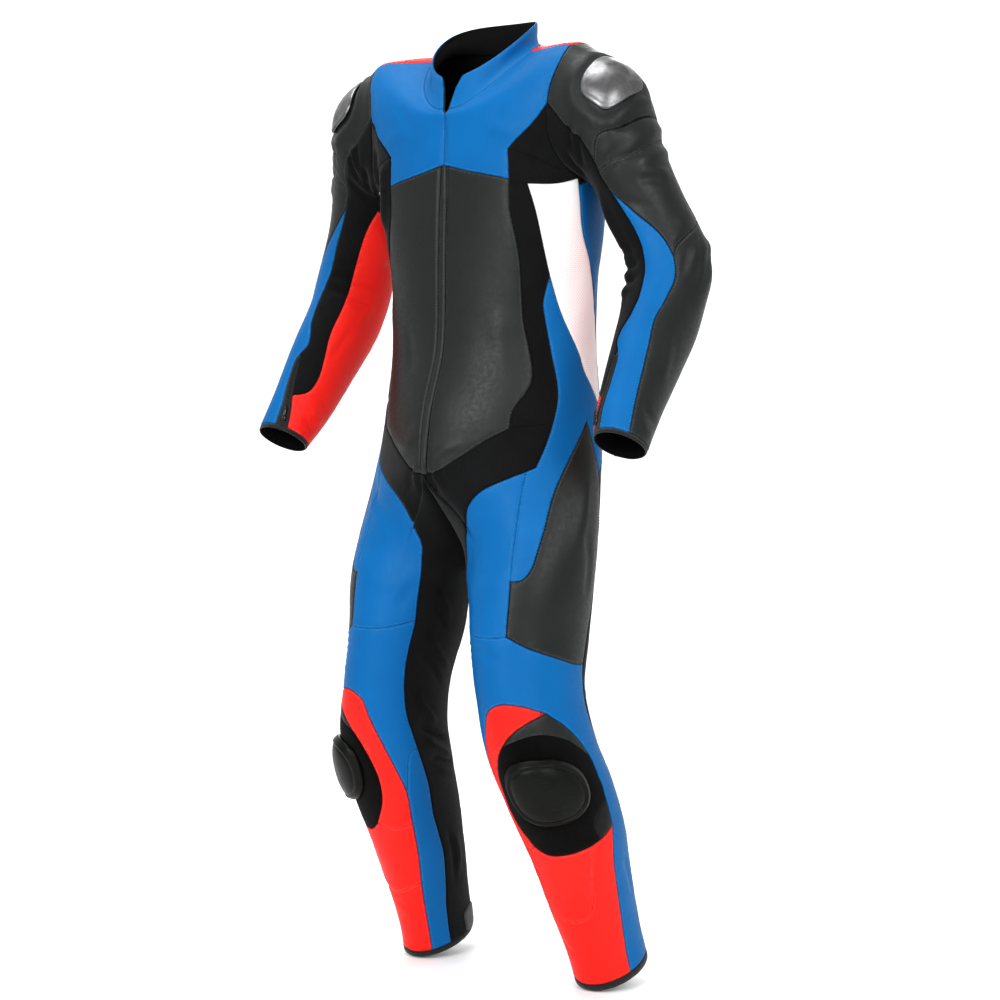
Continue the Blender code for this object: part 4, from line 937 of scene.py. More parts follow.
rollLook = {"strong": (0.0013, 0.0034), "soft": (0.0007, 0.0026), "softFainter": 0.001}  # depth and width
underDisc = {"share": 1.01, "height": -0.0002}  # the panel stays below the flange of a slider or plate


def lineOnSurface(surface, places):  # a smooth line through (turn, run) places, close together in space
    places = np.array(places, float)
    fine = np.linspace(0, len(places) - 1, (len(places) - 1) * 24 + 1)
    padded = np.concatenate([[2 * places[0] - places[1]], places, [2 * places[-1] - places[-2]]])
    k = np.minimum(fine.astype(int), len(places) - 2)
    line = curveAt(*(padded[k + j] for j in range(4)), (fine - k)[:, None])
    turn = wrapTurn(line[:, 0]) if surface.name == "body" else line[:, 0]
    return surface.place(turn, line[:, 1])


def creaseHeight(surface, points, side):
    total = np.zeros(len(points))
    for places, width, height in creaseRows[surface.name, "both"] + creaseRows[surface.name, side]:
        line = lineOnSurface(surface, places)
        inBox = (points > line.min(axis=0) - width) & (points < line.max(axis=0) + width)
        near = np.nonzero(inBox.all(axis=1))[0]
        if len(near) == 0:
            continue
        gaps = np.linalg.norm(points[near][:, None] - line[None], axis=2)
        nearest = gaps.argmin(axis=1)
        along = nearest / (len(line) - 1)
        part = np.minimum(gaps[np.arange(len(near)), nearest] / width, 1)
        taper = smoothStep(np.minimum(along, 1 - along) / creaseLook["taper"])
        total[near] += height * (1 - part**2) ** 2 * taper
    return total


def ribHeight(surface, turn, run):
    total = np.zeros(len(turn))
    for rib in ribRows:
        if rib["surface"] == surface.name:
            across = np.abs((turn - rib["turn"]) / rib["halfTurn"])
            along = np.abs((run - rib["run"]) / rib["halfRun"])
            inside = smoothStep((1 - across) / ribLook["fade"]) * smoothStep((1 - along) / ribLook["fade"])
            total += rib["height"] * np.cos(math.tau * run / rib["pitch"]) * inside
    return total


def noiseAt(points, size, height, shift):
    return np.array([noise.noise(Vector(point) / size + Vector(shift)) for point in points]) * height


def hump(distance, at, half):  # a bump 1 high at a distance, half wide to each side
    return np.maximum(1 - ((distance - at) / half) ** 2, 0) ** 2


def seamRoll(distance, depth, width):  # how far a turned edge rolls down to its seam
    part = np.clip(1 - distance / width, 0, 1)
    return -depth * (1 - np.sqrt(np.maximum(0, 1 - part**2)))


def mirroredTo(side, points):
    return points if side == "left" else points * np.array([-1, 1, 1])


def heightsAt(surface, points, turn, run, side):  # heights of inner and outer face, and how near a seam is
    mirrored = mirroredTo(side, points)
    strong, soft, hole = (np.array([tree.find(point)[2] for point in points])
                          for tree in (strongTree, softTree, armholeTree))
    hold = smoothStep(hole / creaseLook["armholeFade"])
    centre = smoothStep(np.abs(points[:, 0]) / creaseLook["centreFade"])
    folds = creaseHeight(surface, points, side) * hold * np.where(run > hipRun - 0.02, centre, 1)
    if surface.name == "sleeve":
        rim = (discShare(shoulderPlate, turn, run) - 1) * shoulderPlate["halfRun"]
        for height, at, half in plateRims:
            folds += height * hump(rim, at, half) * hold
    for size, height, shift in waveRows:
        folds += noiseAt(mirrored, size, height, shift)
    nearest = np.minimum(strong, soft)
    pucker = noiseAt(mirrored, puckerLook["size"], puckerLook["height"], puckerLook["shift"])
    outer = folds + pucker * np.exp(-nearest / puckerLook["reach"])
    outer += np.minimum(seamRoll(strong, *rollLook["strong"]), seamRoll(soft, *rollLook["soft"]))
    outer += ribHeight(surface, turn, run) * smoothStep(nearest / ribLook["seamFade"])
    for form in (kneeSlider, shoulderPlate):
        if form["surface"] == surface.name:
            under = discShare(form, turn, run) < underDisc["share"]
            outer = np.where(under, np.minimum(outer, underDisc["height"]), outer)
    return folds, outer, np.minimum(strong, soft + rollLook["softFainter"])


for surface in surfaces.values():
    surface.sides = {}
    for side in ("left", "right"):
        surface.sides[side] = heightsAt(surface, surface.points, surface.turn, surface.run, side)
print("creases, ribs and rolled seams laid")


def linearColour(text, share=1.0):  # an sRGB hex value as linear colour
    values = [int(text[k:k + 2], 16) / 255 for k in (1, 3, 5)]
    values = [v / 12.92 if v <= 0.04045 else ((v + 0.055) / 1.055) ** 2.4 for v in values]
    return tuple(v * share for v in values) + (1.0,)


def addNode(tree, kind, inputs=(), give=0, **settings):  # a node with its settings and links; gives an output
    node = tree.nodes.new("ShaderNode" + kind)
    for key, value in settings.items():
        setattr(node, key, value)
    for key, value in inputs.items() if isinstance(inputs, dict) else enumerate(inputs):
        if isinstance(value, bpy.types.NodeSocket):
            tree.links.new(value, node.inputs[key])
        else:
            node.inputs[key].default_value = linearColour(value) if isinstance(value, str) else value
    return node.outputs[give]


mixColours = {"give": 2, "data_type": "RGBA"}  # a Mix node of colours takes its factor at 0, its colours at 6 and 7


def startMaterial(name, values):  # a material with fixed values on its shader, and what adds its nodes
    material = bpy.data.materials.new(name)
    material.use_nodes = True
    shader = material.node_tree.nodes["Principled BSDF"]
    for key, value in values.items():
        shader.inputs[key].default_value = value
    return material, partial(addNode, material.node_tree)


def endMaterial(material, links):  # links what the nodes give to the shader
    shader = material.node_tree.nodes["Principled BSDF"]
    for key, socket in links.items():
        material.node_tree.links.new(socket, shader.inputs[key])
    return material


# groove: how dark the painted shade in the seam grooves is, as a share of the deep colour.
# worn: the colour of the lighter band beside the seams, wear in patches and a painted highlight on the rolled
# edges.
leatherLook = {
    "blue_leather": {"colour": "#005c94", "deep": "#005286", "worn": "#1874ac", "rough": (0.46, 0.58),
                     "groove": 0.3, "shine": 0.15},
    "red_leather": {"colour": "#d4241c", "deep": "#c01914", "worn": "#ec4c42", "rough": (0.46, 0.58),
                    "groove": 0.3, "shine": 0.15},
    "charcoal_leather": {"colour": "#1a1d1c", "deep": "#151716", "worn": "#333735", "rough": (0.4, 0.53),
                         "groove": 0.16, "shine": 0.28},
    "white_leather": {"colour": "#dfdfde", "deep": "#d6d5d4", "worn": "#ececea", "rough": (0.46, 0.58),
                      "groove": 0.45, "shine": 0.2},
}
grainLook = {  # sizes in metres
    "pebble": 0.0021, "pore": 0.006, "wrinkle": 0.011, "mottle": 0.11, "groove": 0.0016, "wornFrom": 0.00208,
    "wornTo": 0.0058, "dot": "#bcc1c6", "dotPitch": 0.006, "dotRadius": 0.00085,
}


def polishedCowhide(name, look, holes=False):
    # Polished cowhide, drum-dyed and plated: an even deep colour under a thin satin topcoat, with fine
    # pebble grain, soft wrinkles, painted shade darkening the seam grooves, and a lighter band beside
    # the seams that is partly wear in patches and partly a painted highlight on the rolled edges.
    # Its pebbles are about 0.9 mm; they are drawn at 2.1 mm so that they show.
    material, node = startMaterial(name, {"IOR": 1.5, "Specular IOR Level": look["shine"]})
    place = node("TexCoord", give="Object")
    mottle = node("TexNoise", {"Vector": place, "Scale": 1 / grainLook["mottle"], "Detail": 3.0})
    fine = node("TexNoise", {"Vector": place, "Scale": 1 / grainLook["pore"], "Detail": 3.0})
    seam = node("Attribute", give="Fac", attribute_name="seamDistance")
    spread = node("MapRange", (mottle, 0.35, 0.65, 0.0, 0.5))
    colour = node("Mix", {0: spread, 6: look["colour"], 7: look["deep"]}, **mixColours)
    # A lighter band beside the seams: wear in random patches, and a painted highlight on the rolled seam edges.
    edge = node("MapRange", (seam, grainLook["wornFrom"], grainLook["wornTo"], 1.0, 0.0))
    patches = node("MapRange", (fine, 0.42, 0.62, 0.0, 0.34))
    wearAndSheen = node("Math", (edge, patches), operation="MULTIPLY")
    colour = node("Mix", {0: wearAndSheen, 6: colour, 7: look["worn"]}, **mixColours)
    # Painted shade: near a seam the colour darkens to a dim copy of the deep colour, the shade of the seam groove.
    seamShade = node("MapRange", (seam, 0.0002, grainLook["groove"], 0.72, 0.0))
    groove = linearColour(look["deep"], look["groove"])
    colour = node("Mix", {0: seamShade, 6: colour, 7: groove}, **mixColours)
    pebble = {"Vector": place, "Scale": 1 / grainLook["pebble"], "Smoothness": 0.6, "Randomness": 0.9}
    pebble = node("TexVoronoi", pebble, feature="SMOOTH_F1")
    slanted = node("Mapping", {"Vector": place, "Scale": (1.0, 1.0, 0.55), "Rotation": (0.0, 0.35, 0.5)})
    size = 1 / grainLook["wrinkle"]
    wrinkle = node("TexNoise", {"Vector": slanted, "Scale": size, "Detail": 4.0, "Distortion": 0.7})
    rough = node("MapRange", (fine, 0.3, 0.7, *look["rough"]))
    normal = node("Bump", {"Strength": 0.24, "Distance": 0.0006, "Height": wrinkle})
    normal = node("Bump", {"Strength": 0.12, "Distance": 0.00035, "Height": pebble, "Normal": normal})
    if holes:  # punched holes of 1 mm, 5 mm apart, drawn 1.7 mm wide and 6 mm apart
        dot = perforation(node, grainLook["dotPitch"], grainLook["dotRadius"])
        colour = node("Mix", {0: dot, 6: colour, 7: grainLook["dot"]}, **mixColours)
        pit = {"Strength": 0.25, "Distance": 0.0004, "Height": dot, "Normal": normal}
        normal = node("Bump", pit, invert=True)
    return endMaterial(material, {"Base Color": colour, "Roughness": rough, "Normal": normal})


def perforation(node, pitch, radius):  # 1 inside round holes in staggered rows
    across = node("SeparateXYZ", (node("UVMap", uv_map="cut"),))
    masks = []
    for shift in (0.0, 0.5):
        squares = []
        for at in (across, across.node.outputs["Y"]):
            for operation, value in (("DIVIDE", pitch), ("ADD", shift), ("FRACT", 0.0), ("SUBTRACT", 0.5)):
                at = node("Math", (at, value), operation=operation)
            squares.append(node("Math", (at, at), operation="MULTIPLY"))
        away = node("Math", (node("Math", squares, operation="ADD"),), operation="SQRT")
        masks.append(node("MapRange", (away, radius / pitch * 0.75, radius / pitch * 1.25, 1.0, 0.0)))
    return node("Math", masks, operation="MAXIMUM")


# seam: the colour of the painted shade along the seams; gap: the colour of the painted shade in the rib troughs.
stretchLook = {"colour": "#0c0c0d", "light": "#151617", "seam": "#050505", "gap": "#070707", "rib": 0.0026,
               "yarn": 0.0013, "yarnShare": 0.35}


def ribbedStretch(name, look):
    # Ribbed aramid stretch knit: matt black with a soft nap at grazing light and fine ribs along the limb,
    # with painted shade darkening the rib troughs and the seams.
    # Its ribs are 1.2 mm apart; they are drawn at 2.6 mm so that they show.
    material, node = startMaterial(name, {
        "Roughness": 0.88, "Specular IOR Level": 0.15, "Sheen Weight": 0.08, "Sheen Roughness": 0.4,
    })
    across = node("SeparateXYZ", (node("UVMap", uv_map="cut"),))
    waves = []
    for at, size in ((across, look["rib"]), (across.node.outputs["Y"], look["yarn"])):
        turns = node("Math", (at, math.tau / size), operation="MULTIPLY")
        waves.append(node("Math", (turns,), operation="SINE"))
    yarns = node("Math", (waves[1], look["yarnShare"]), operation="MULTIPLY")
    weave = node("Math", (waves[0], yarns), operation="ADD")
    place = node("TexCoord", give="Object")
    patchy = node("TexNoise", {"Vector": place, "Scale": 14.0, "Detail": 4.0})
    patches = node("MapRange", (patchy, 0.35, 0.7, 0.0, 0.7))
    colour = node("Mix", {0: patches, 6: look["colour"], 7: look["light"]}, **mixColours)
    seam = node("Attribute", give="Fac", attribute_name="seamDistance")
    # Painted shade: the knit darkens towards near black along the seams.
    seamShade = node("MapRange", (seam, 0.0003, 0.003, 0.7, 0.0))
    colour = node("Mix", {0: seamShade, 6: colour, 7: look["seam"]}, **mixColours)
    # Painted shade: the troughs between the ribs are darker than their tops.
    gaps = node("MapRange", (weave, -1.2, 1.2, 0.35, 0.0))
    colour = node("Mix", {0: gaps, 6: colour, 7: look["gap"]}, **mixColours)
    normal = node("Bump", {"Strength": 0.5, "Distance": 0.0004, "Height": weave})
    return endMaterial(material, {"Base Color": colour, "Normal": normal})


pileLook = {"colour": "#040404", "worn": "#0b0b0a", "loop": 0.0022}


def loopPile(name, look):
    # Loop pile for touch fastening: thick, hairy and near black, it swallows light.
    material, node = startMaterial(name, {
        "Roughness": 0.97, "Specular IOR Level": 0.08, "Sheen Weight": 0.03, "Sheen Roughness": 0.6,
    })
    place = node("TexCoord", give="Object")
    fuzz = node("TexNoise", {"Vector": place, "Scale": 1 / look["loop"], "Detail": 5.0, "Roughness": 0.7})
    patchy = node("TexNoise", {"Vector": place, "Scale": 45.0, "Detail": 3.0})
    worn = node("MapRange", (patchy, 0.4, 0.7, 0.0, 0.6))
    colour = node("Mix", {0: worn, 6: look["colour"], 7: look["worn"]}, **mixColours)
    normal = node("Bump", {"Strength": 0.9, "Distance": 0.0012, "Height": fuzz})
    return endMaterial(material, {"Base Color": colour, "Normal": normal})


liningLook = {"colour": "#101011", "hole": "#020202", "pitch": 0.0036, "radius": 0.0009}


def meshLining(name, look):
    # Polyester mesh lining: black and open, with small holes about 3 mm apart that read as a faint net.
    material, node = startMaterial(name, {"Roughness": 0.9, "Specular IOR Level": 0.2})
    dot = perforation(node, look["pitch"], look["radius"])
    colour = node("Mix", {0: dot, 6: look["colour"], 7: look["hole"]}, **mixColours)
    normal = node("Bump", {"Strength": 0.6, "Distance": 0.0005, "Height": dot}, invert=True)
    return endMaterial(material, {"Base Color": colour, "Normal": normal})


tapeLook = {"yarn": 0.0018, "band": 0.006}


def wovenTape(name, colour, light):
    # Woven polyester binding and zip tape: a tight herringbone twill, matt with a faint gloss on the yarns,
    # and a painted highlight that makes the tops of the yarns lighter than the troughs.
    # Its yarns are 0.5 mm apart; they are drawn at 1.8 mm so that they show.
    material, node = startMaterial(name, {
        "Roughness": 0.72, "Specular IOR Level": 0.3, "Sheen Weight": 0.15, "Sheen Roughness": 0.5,
    })
    across = node("SeparateXYZ", (node("UVMap", uv_map="cut"),))
    twill = node("Math", (across, tapeLook["band"]), operation="PINGPONG")
    twill = node("Math", (twill, across.node.outputs["Y"]), operation="ADD")
    twill = node("Math", (twill, math.tau / tapeLook["yarn"]), operation="MULTIPLY")
    twill = node("Math", (twill,), operation="SINE")
    # Painted highlight: the tops of the yarns are lighter than the troughs.
    crestHighlight = node("MapRange", (twill, -1.0, 1.0, 0.0, 1.0))
    colours = node("Mix", {0: crestHighlight, 6: colour, 7: light}, **mixColours)
    normal = node("Bump", {"Strength": 0.45, "Distance": 0.0003, "Height": twill})
    return endMaterial(material, {"Base Color": colours, "Normal": normal})


mouldLook = {"scuff": "#343834", "flow": 26.0, "grain": 0.0016}


def mouldedPolyurethane(name, dark, light):
    # Moulded thermoplastic polyurethane: dense dark grey with a satin skin, faint flow marks and light scuffs.
    material, node = startMaterial(name, {"IOR": 1.5, "Specular IOR Level": 0.15})
    place = node("TexCoord", give="Object")
    flow = node("TexNoise", {"Vector": place, "Scale": mouldLook["flow"], "Detail": 4.0, "Distortion": 1.2})
    scraped = node("Mapping", {"Vector": place, "Scale": (60.0, 60.0, 700.0), "Rotation": (0.4, 0.6, 0.2)})
    scuff = node("TexNoise", {"Vector": scraped, "Scale": 1.0, "Detail": 2.0})
    grain = node("TexNoise", {"Vector": place, "Scale": 1 / mouldLook["grain"], "Detail": 2.0})
    scuffed = node("MapRange", (scuff, 0.62, 0.74, 0.0, 0.22))
    marks = node("MapRange", (flow, 0.3, 0.7, 0.0, 1.0))
    colour = node("Mix", {0: marks, 6: dark, 7: light}, **mixColours)
    colour = node("Mix", {0: scuffed, 6: colour, 7: mouldLook["scuff"]}, **mixColours)
    skin = node("MapRange", (flow, 0.3, 0.7, 0.34, 0.46))
    dulled = node("Math", (scuffed, 0.5), operation="MULTIPLY")
    rough = node("Math", (skin, dulled), operation="ADD")
    normal = node("Bump", {"Strength": 0.14, "Distance": 0.0003, "Height": grain})
    return endMaterial(material, {"Base Color": colour, "Roughness": rough, "Normal": normal})


titaniumLook = {"colour": "#7c7c7d", "dark": "#5a5a5b", "cloud": 38.0, "brush": (1500.0, 90.0, 90.0)}


def satinTitanium(name, look):
    # Pressed titanium, bead blasted and lightly brushed: grey metal with a broad soft highlight,
    # cloudy darker patches and hairline brushing.
    material, node = startMaterial(name, {"Metallic": 1.0, "Anisotropic": 0.35})
    place = node("TexCoord", give="Object")
    cloud = node("TexNoise", {"Vector": place, "Scale": look["cloud"], "Detail": 3.0, "Distortion": 0.8})
    lines = node("Mapping", {"Vector": place, "Scale": look["brush"]})
    brushed = node("TexNoise", {"Vector": lines, "Scale": 1.0, "Detail": 2.0})
    patches = node("MapRange", (cloud, 0.35, 0.68, 0.0, 1.0))
    colour = node("Mix", {0: patches, 6: look["colour"], 7: look["dark"]}, **mixColours)
    blasted = node("MapRange", (cloud, 0.3, 0.7, 0.24, 0.34))
    hairline = node("MapRange", (brushed, 0.3, 0.7, 0.0, 0.1))
    rough = node("Math", (blasted, hairline), operation="ADD")
    normal = node("Bump", {"Strength": 0.12, "Distance": 0.0002, "Height": brushed})
    return endMaterial(material, {"Base Color": colour, "Roughness": rough, "Normal": normal})


def bondedThread(name, colour):
    # Bonded nylon thread: smooth, a little glossier than the leather, with a faint twist in its colour.
    material, node = startMaterial(name, {"Roughness": 0.5, "Sheen Weight": 0.1})
    twist = node("TexNoise", {"Vector": node("TexCoord", give="Object"), "Scale": 900.0, "Detail": 2.0})
    shades = node("Mix", {0: twist, 6: colour, 7: linearColour(colour, 0.55)}, **mixColours)
    return endMaterial(material, {"Base Color": shades})


zincLook = {"colour": "#2a2a2b", "worn": "#6d6d6e"}


def castZinc(name, look):
    # Die-cast zinc under black enamel: hard and dark with small bright edges.
    material, node = startMaterial(name, {"Metallic": 0.6, "IOR": 1.5})
    fine = node("TexNoise", {"Vector": node("TexCoord", give="Object"), "Scale": 420.0, "Detail": 2.0})
    worn = node("MapRange", (fine, 0.55, 0.75, 0.0, 0.6))
    colour = node("Mix", {0: worn, 6: look["colour"], 7: look["worn"]}, **mixColours)
    rough = node("MapRange", (worn, 0.0, 0.6, 0.3, 0.42))
    return endMaterial(material, {"Base Color": colour, "Roughness": rough})


finishes = {name: polishedCowhide(name.replace("_", "-") + "-cowhide", look, name == "white_leather")
            for name, look in leatherLook.items()}
finishes |= {
    "black_stretch": ribbedStretch("ribbed-aramid-stretch", stretchLook),
    "zip_black": wovenTape("woven-polyester-tape", "#0c0c0c", "#1c1c1c"),
    "loop": loopPile("nylon-loop-pile", pileLook),
    "lining": meshLining("polyester-mesh-lining", liningLook),
    "slider_plastic": mouldedPolyurethane("moulded-polyurethane", "#070906", "#0d100c"),
    "patch": mouldedPolyurethane("polyurethane-patch", "#030303", "#070707"),
    "brushed_metal": satinTitanium("satin-titanium", titaniumLook),
    "zinc": castZinc("enamelled-zinc", zincLook),
    "tab": wovenTape("brushed-nylon-tab", "#333434", "#484949"),
}
threadColours = {"blue": "#1a78bb", "red": "#d8332c", "charcoal": "#3a3e3d", "white": "#d8d8d8"}
threads = {f"{name}_leather": bondedThread("bonded-thread-" + name, colour)
           for name, colour in threadColours.items()}
print("materials made")

sceneCollection = bpy.context.scene.collection


def makePiece(name, points, faces, materials, slot, faceMaterial=None, cutPlaces=None, seamGaps=None, smooth=True):
    mesh = bpy.data.meshes.new(name)
    points, faces = np.asarray(points, float), np.asarray(faces)
    mesh.from_pydata(points.tolist(), [], faces.tolist())
    for material in materials:
        mesh.materials.append(material)
    if faceMaterial is not None:
        mesh.polygons.foreach_set("material_index", np.asarray(faceMaterial, np.int32))
    mesh.polygons.foreach_set("use_smooth", np.full(len(mesh.polygons), smooth))
    if cutPlaces is not None:
        layer = mesh.uv_layers.new(name="cut")
        corners = np.zeros(len(mesh.loops), np.int32)
        mesh.loops.foreach_get("vertex_index", corners)
        layer.data.foreach_set("uv", np.asarray(cutPlaces, np.float32)[corners].ravel())
    if seamGaps is not None:
        layer = mesh.attributes.new("seamDistance", "FLOAT", "POINT")
        layer.data.foreach_set("value", np.asarray(seamGaps, np.float32))
    mesh.update()
    piece = bpy.data.objects.new(name, mesh)
    sceneCollection.objects.link(piece)
    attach(piece, "root")
    return piece


def borderOf(faces):  # directed edges that only one face has
    edges = edgesOf(faces)
    count = int(edges.max()) + 1
    back = set((edges[:, 1] * count + edges[:, 0]).tolist())
    return edges[[key not in back for key in (edges[:, 0] * count + edges[:, 1]).tolist()]]


def panelMesh(surface, areas, sides):  # where the points come from, with normals, heights and faces
    inPanel = np.isin(surface.areas, list(areas))
    index, rows, faces, faceArea = {}, [], [], []
    for side in sides:
        flip = 1 if side == "left" else -1
        for face, area in zip(surface.faces[inPanel].tolist(), surface.areas[inPanel].tolist()):
            corners = []
            for k in face:
                key = (int(surface.ids[k]), 1 if surface.points[k, 0] == 0 else flip)
                if key not in index:
                    index[key] = len(rows)
                    rows.append((k, flip))
                corners.append(index[key])
            faces.append(corners[::flip])
            faceArea.append(area)
    source, flips = np.array(rows).T
    mirror = np.stack([flips, np.ones_like(flips), np.ones_like(flips)], axis=1)
    heights = [np.where(flips > 0, left[source], right[source])
               for left, right in zip(surface.sides["left"], surface.sides["right"])]
    area = float(surface.faceAreas[inPanel].sum()) * len(sides)
    return {"source": source, "flips": flips, "points": surface.points[source] * mirror,
            "normals": surface.normals[source] * mirror, "heights": heights,
            "faces": np.array(faces), "faceArea": np.array(faceArea), "area": area}


girthSamples = {"runs": 40, "turns": 60}
ringGirth = {}
for surface in surfaces.values():  # metres of cloth to a degree of turn, at each run
    runs = np.linspace(0, surface.run.max(), girthSamples["runs"])
    turns = np.linspace(0, 180, girthSamples["turns"])
    ringLines = [surface.place(turns, np.full(len(turns), run)) for run in runs]
    perDegree = [np.linalg.norm(np.diff(line, axis=0), axis=1).sum() / 180 for line in ringLines]
    ringGirth[surface.name] = (runs, np.array(perDegree))


def flatPlaces(surface, source, flips):  # the cut laid flat, in metres
    turn, run = surface.turn[source], surface.run[source]
    if surface.name == "body" and turn.min() < -45:  # a panel over the inseam is laid out in one
        turn = np.where(turn > 180, turn - 360, turn)
    metres = np.interp(run, *ringGirth[surface.name])
    mirrored = np.where(turn.mean() > 45, 360 - turn, -turn)
    return np.stack([np.where(flips > 0, turn, mirrored) * metres, run], axis=1)


def closeWall(top, bottom, faces):
    count = len(top)
    border = borderOf(faces)
    a, b = border[:, 0], border[:, 1]
    rim = np.concatenate([np.stack([b, a, b + count], axis=1), np.stack([a, a + count, b + count], axis=1)])
    under = faces[:, ::-1] + count
    return np.concatenate([top, bottom]), np.concatenate([faces, under, rim]), len(faces), len(rim)


cutLook = {"turnStep": 3, "leastWidth": 0.0102, "leastFill": 0.34, "slack": 1.02}


def cutSize(places, area):  # width and length of the smallest upright-or-turned box round the flat cut
    best = None
    for degrees in range(0, 90, cutLook["turnStep"]):
        at = math.radians(degrees)
        turned = places @ np.array([[math.cos(at), -math.sin(at)], [math.sin(at), math.cos(at)]])
        spans = turned.max(axis=0) - turned.min(axis=0)
        if best is None or spans.prod() < best[0]:
            best = (spans.prod(), sorted(spans.tolist()))
    width, length = best[1]  # a bent strip is measured along itself
    width = max(cutLook["leastWidth"], min(width, area / (cutLook["leastFill"] * length)))
    grow = math.sqrt(max(1.0, cutLook["slack"] * area / (width * length)))
    return width * grow, length * grow


flapRidges = ((0.003, 0.0019), (-0.0035, -0.0006))  # the zip's cover: a soft ridge, and a low strip beside it
flapHalf = 0.0038


def flapHeight(points):
    return sum(hump(points[:, 0], at, flapHalf) * height for at, height in flapRidges)


wallLook = {"foldLimit": 0.002, "insideSeam": 0.01}  # folds rise less on the inside; no seam is drawn there
for panel in panels:
    surface, cut = surfaces[panel["surface"]], panel["cut"]
    centre = panel["side"] == "centre"
    for side in (("both",) if centre else ("left", "right")):
        mesh = panelMesh(surface, panel["areas"], ("left", "right") if centre else (side,))
        points, normals = mesh["points"], mesh["normals"]
        folds, outer, seam = mesh["heights"]
        materials = [finishes[panel["finish"]], finishes["lining"]]
        if panel["node"] == "front_zip":
            outer = outer + flapHeight(points)
            materials[0] = finishes["charcoal_leather"]
        top = points + normals * outer[:, None]
        bottom = points + normals * (np.minimum(folds, wallLook["foldLimit"]) - cut["wall"])[:, None]
        allPoints, allFaces, faceCount, rimCount = closeWall(top, bottom, mesh["faces"])
        materialOf = np.repeat([0, 1, 0], [faceCount, faceCount, rimCount])
        if panel["node"] == "knee_base":
            leather, patch = surface.areaAt(50, 0.424), surface.areaAt(90, 0.285)
            own = mesh["faceArea"]
            materialOf[:faceCount] = np.where(own == leather, 3, np.where(own == patch, 4, 2))
            materials += [finishes["loop"], finishes["charcoal_leather"], finishes["patch"]]
        places = flatPlaces(surface, mesh["source"], mesh["flips"])
        name = "".join(part.capitalize() for part in panel["node"].split("_"))
        name = name[0].lower() + name[1:] + "." + ("centre" if centre else side)
        piece = makePiece(name, allPoints, allFaces, materials, panel["finish"], materialOf,
                          np.concatenate([places, places]), np.concatenate([seam, seam + wallLook["insideSeam"]]))
        node = panel["node"] if centre else f"{panel['node']}_{side}"
        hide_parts(node)
        area = mesh["area"]
        size = cutSize(places if centre else flatPlaces(surface, mesh["source"], np.ones(len(points))), area)

facingLook = {"wall": 0.0012, "gap": 0.0003, "margin": 0.0009}


def makeFacing():  # the collar's inside facing
    collar = next(panel for panel in panels if panel["node"] == "collar")
    mesh = panelMesh(body, collar["areas"], ("left", "right"))
    points, normals, faces = mesh["points"], mesh["normals"], mesh["faces"]
    inward = {}
    for a, b in borderOf(faces):
        for k in (a, b):
            across = np.cross(normals[k], points[b] - points[a])
            inward.setdefault(int(k), []).append(across / np.linalg.norm(across))
    moved = points.copy()
    for k, ways in inward.items():
        mean = np.sum(ways, axis=0)
        moved[k] += mean / max(np.linalg.norm(mean), 1e-9) * facingLook["margin"]
    under = np.minimum(mesh["heights"][0], 0) - collar["cut"]["wall"] - facingLook["gap"]
    top, bottom = moved + normals * under[:, None], moved + normals * (under - facingLook["wall"])[:, None]
    allPoints, allFaces, faceCount, rimCount = closeWall(top, bottom, faces)
    places = flatPlaces(body, mesh["source"], mesh["flips"])
    piece = makePiece("collarFacing", allPoints, allFaces, [finishes["lining"]], "black_stretch", None,
                      np.concatenate([places, places]))
    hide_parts("collar_facing")
    area = mesh["area"]
    size = cutSize(places, area)


makeFacing()


def ringShell(rings):  # closes rings of points, the last two of them single: a tip above and a foot below
    count = len(rings[0])
    around = [(k, (k + 1) % count) for k in range(count)]
    last, tip = (len(rings) - 3) * count, (len(rings) - 2) * count
    faces = []
    for start in range(0, last, count):
        for k, n in around:
            faces.append((start + k, start + n, start + count + n))
            faces.append((start + k, start + count + n, start + count + k))
    for k, n in around:
        faces.append((last + k, last + n, tip))
        faces.append((n, k, tip + 1))
    vertices, faces = np.concatenate(rings), np.array(faces)
    a, b, c = (vertices[faces[:, k]] for k in range(3))
    if (np.cross(b - a, c - a) * ((a + b + c) / 3 - vertices.mean(axis=0))).sum() < 0:
        faces = faces[:, ::-1]
    return vertices, faces


discPoints = 96


def makeDisc(name, form, side):  # a moulded or pressed shell laid on its panel
    surface = surfaces[form["surface"]]
    rings = []
    for part, height in form["profile"] + ((0, form["top"]), (0, 0)):
        turn, run = superEllipse(form, part, discPoints if part else 1)
        points = surface.place(turn, run) + outwards(surface.place, turn, run) * (form["base"] + height)
        rings.append(mirroredTo(side, points))
    piece = makePiece(name + side, *ringShell(rings), [finishes[form["finish"]]], form["finish"])
    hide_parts(f"{form['node']}_{side}")


for side in ("left", "right"):
    makeDisc("kneeSlider.", kneeSlider, side)
    makeDisc("shoulderPlate.", shoulderPlate, side)
print("sliders and plates laid")

stitchLook = {
    "pitch": 0.0043, "length": 0.0034, "width": 0.0011, "away": 0.0029, "lift": 0.0001, "ahead": 0.001,
    "onPanel": 0.006, "offSeam": 0.0005, "armhole": 0.002,  # a stitch further off than these is left out
}
stitchCorners = np.array([(1, 0, 0), (0, 1, 0), (-1, 0, 0), (0, -1, 0), (0, 0, 1), (0, 0, -1)]) / 2
stitchFaces = np.array([(0, 1, 4), (1, 2, 4), (2, 3, 4), (3, 0, 4), (1, 0, 5), (2, 1, 5), (3, 2, 5), (0, 3, 5)])


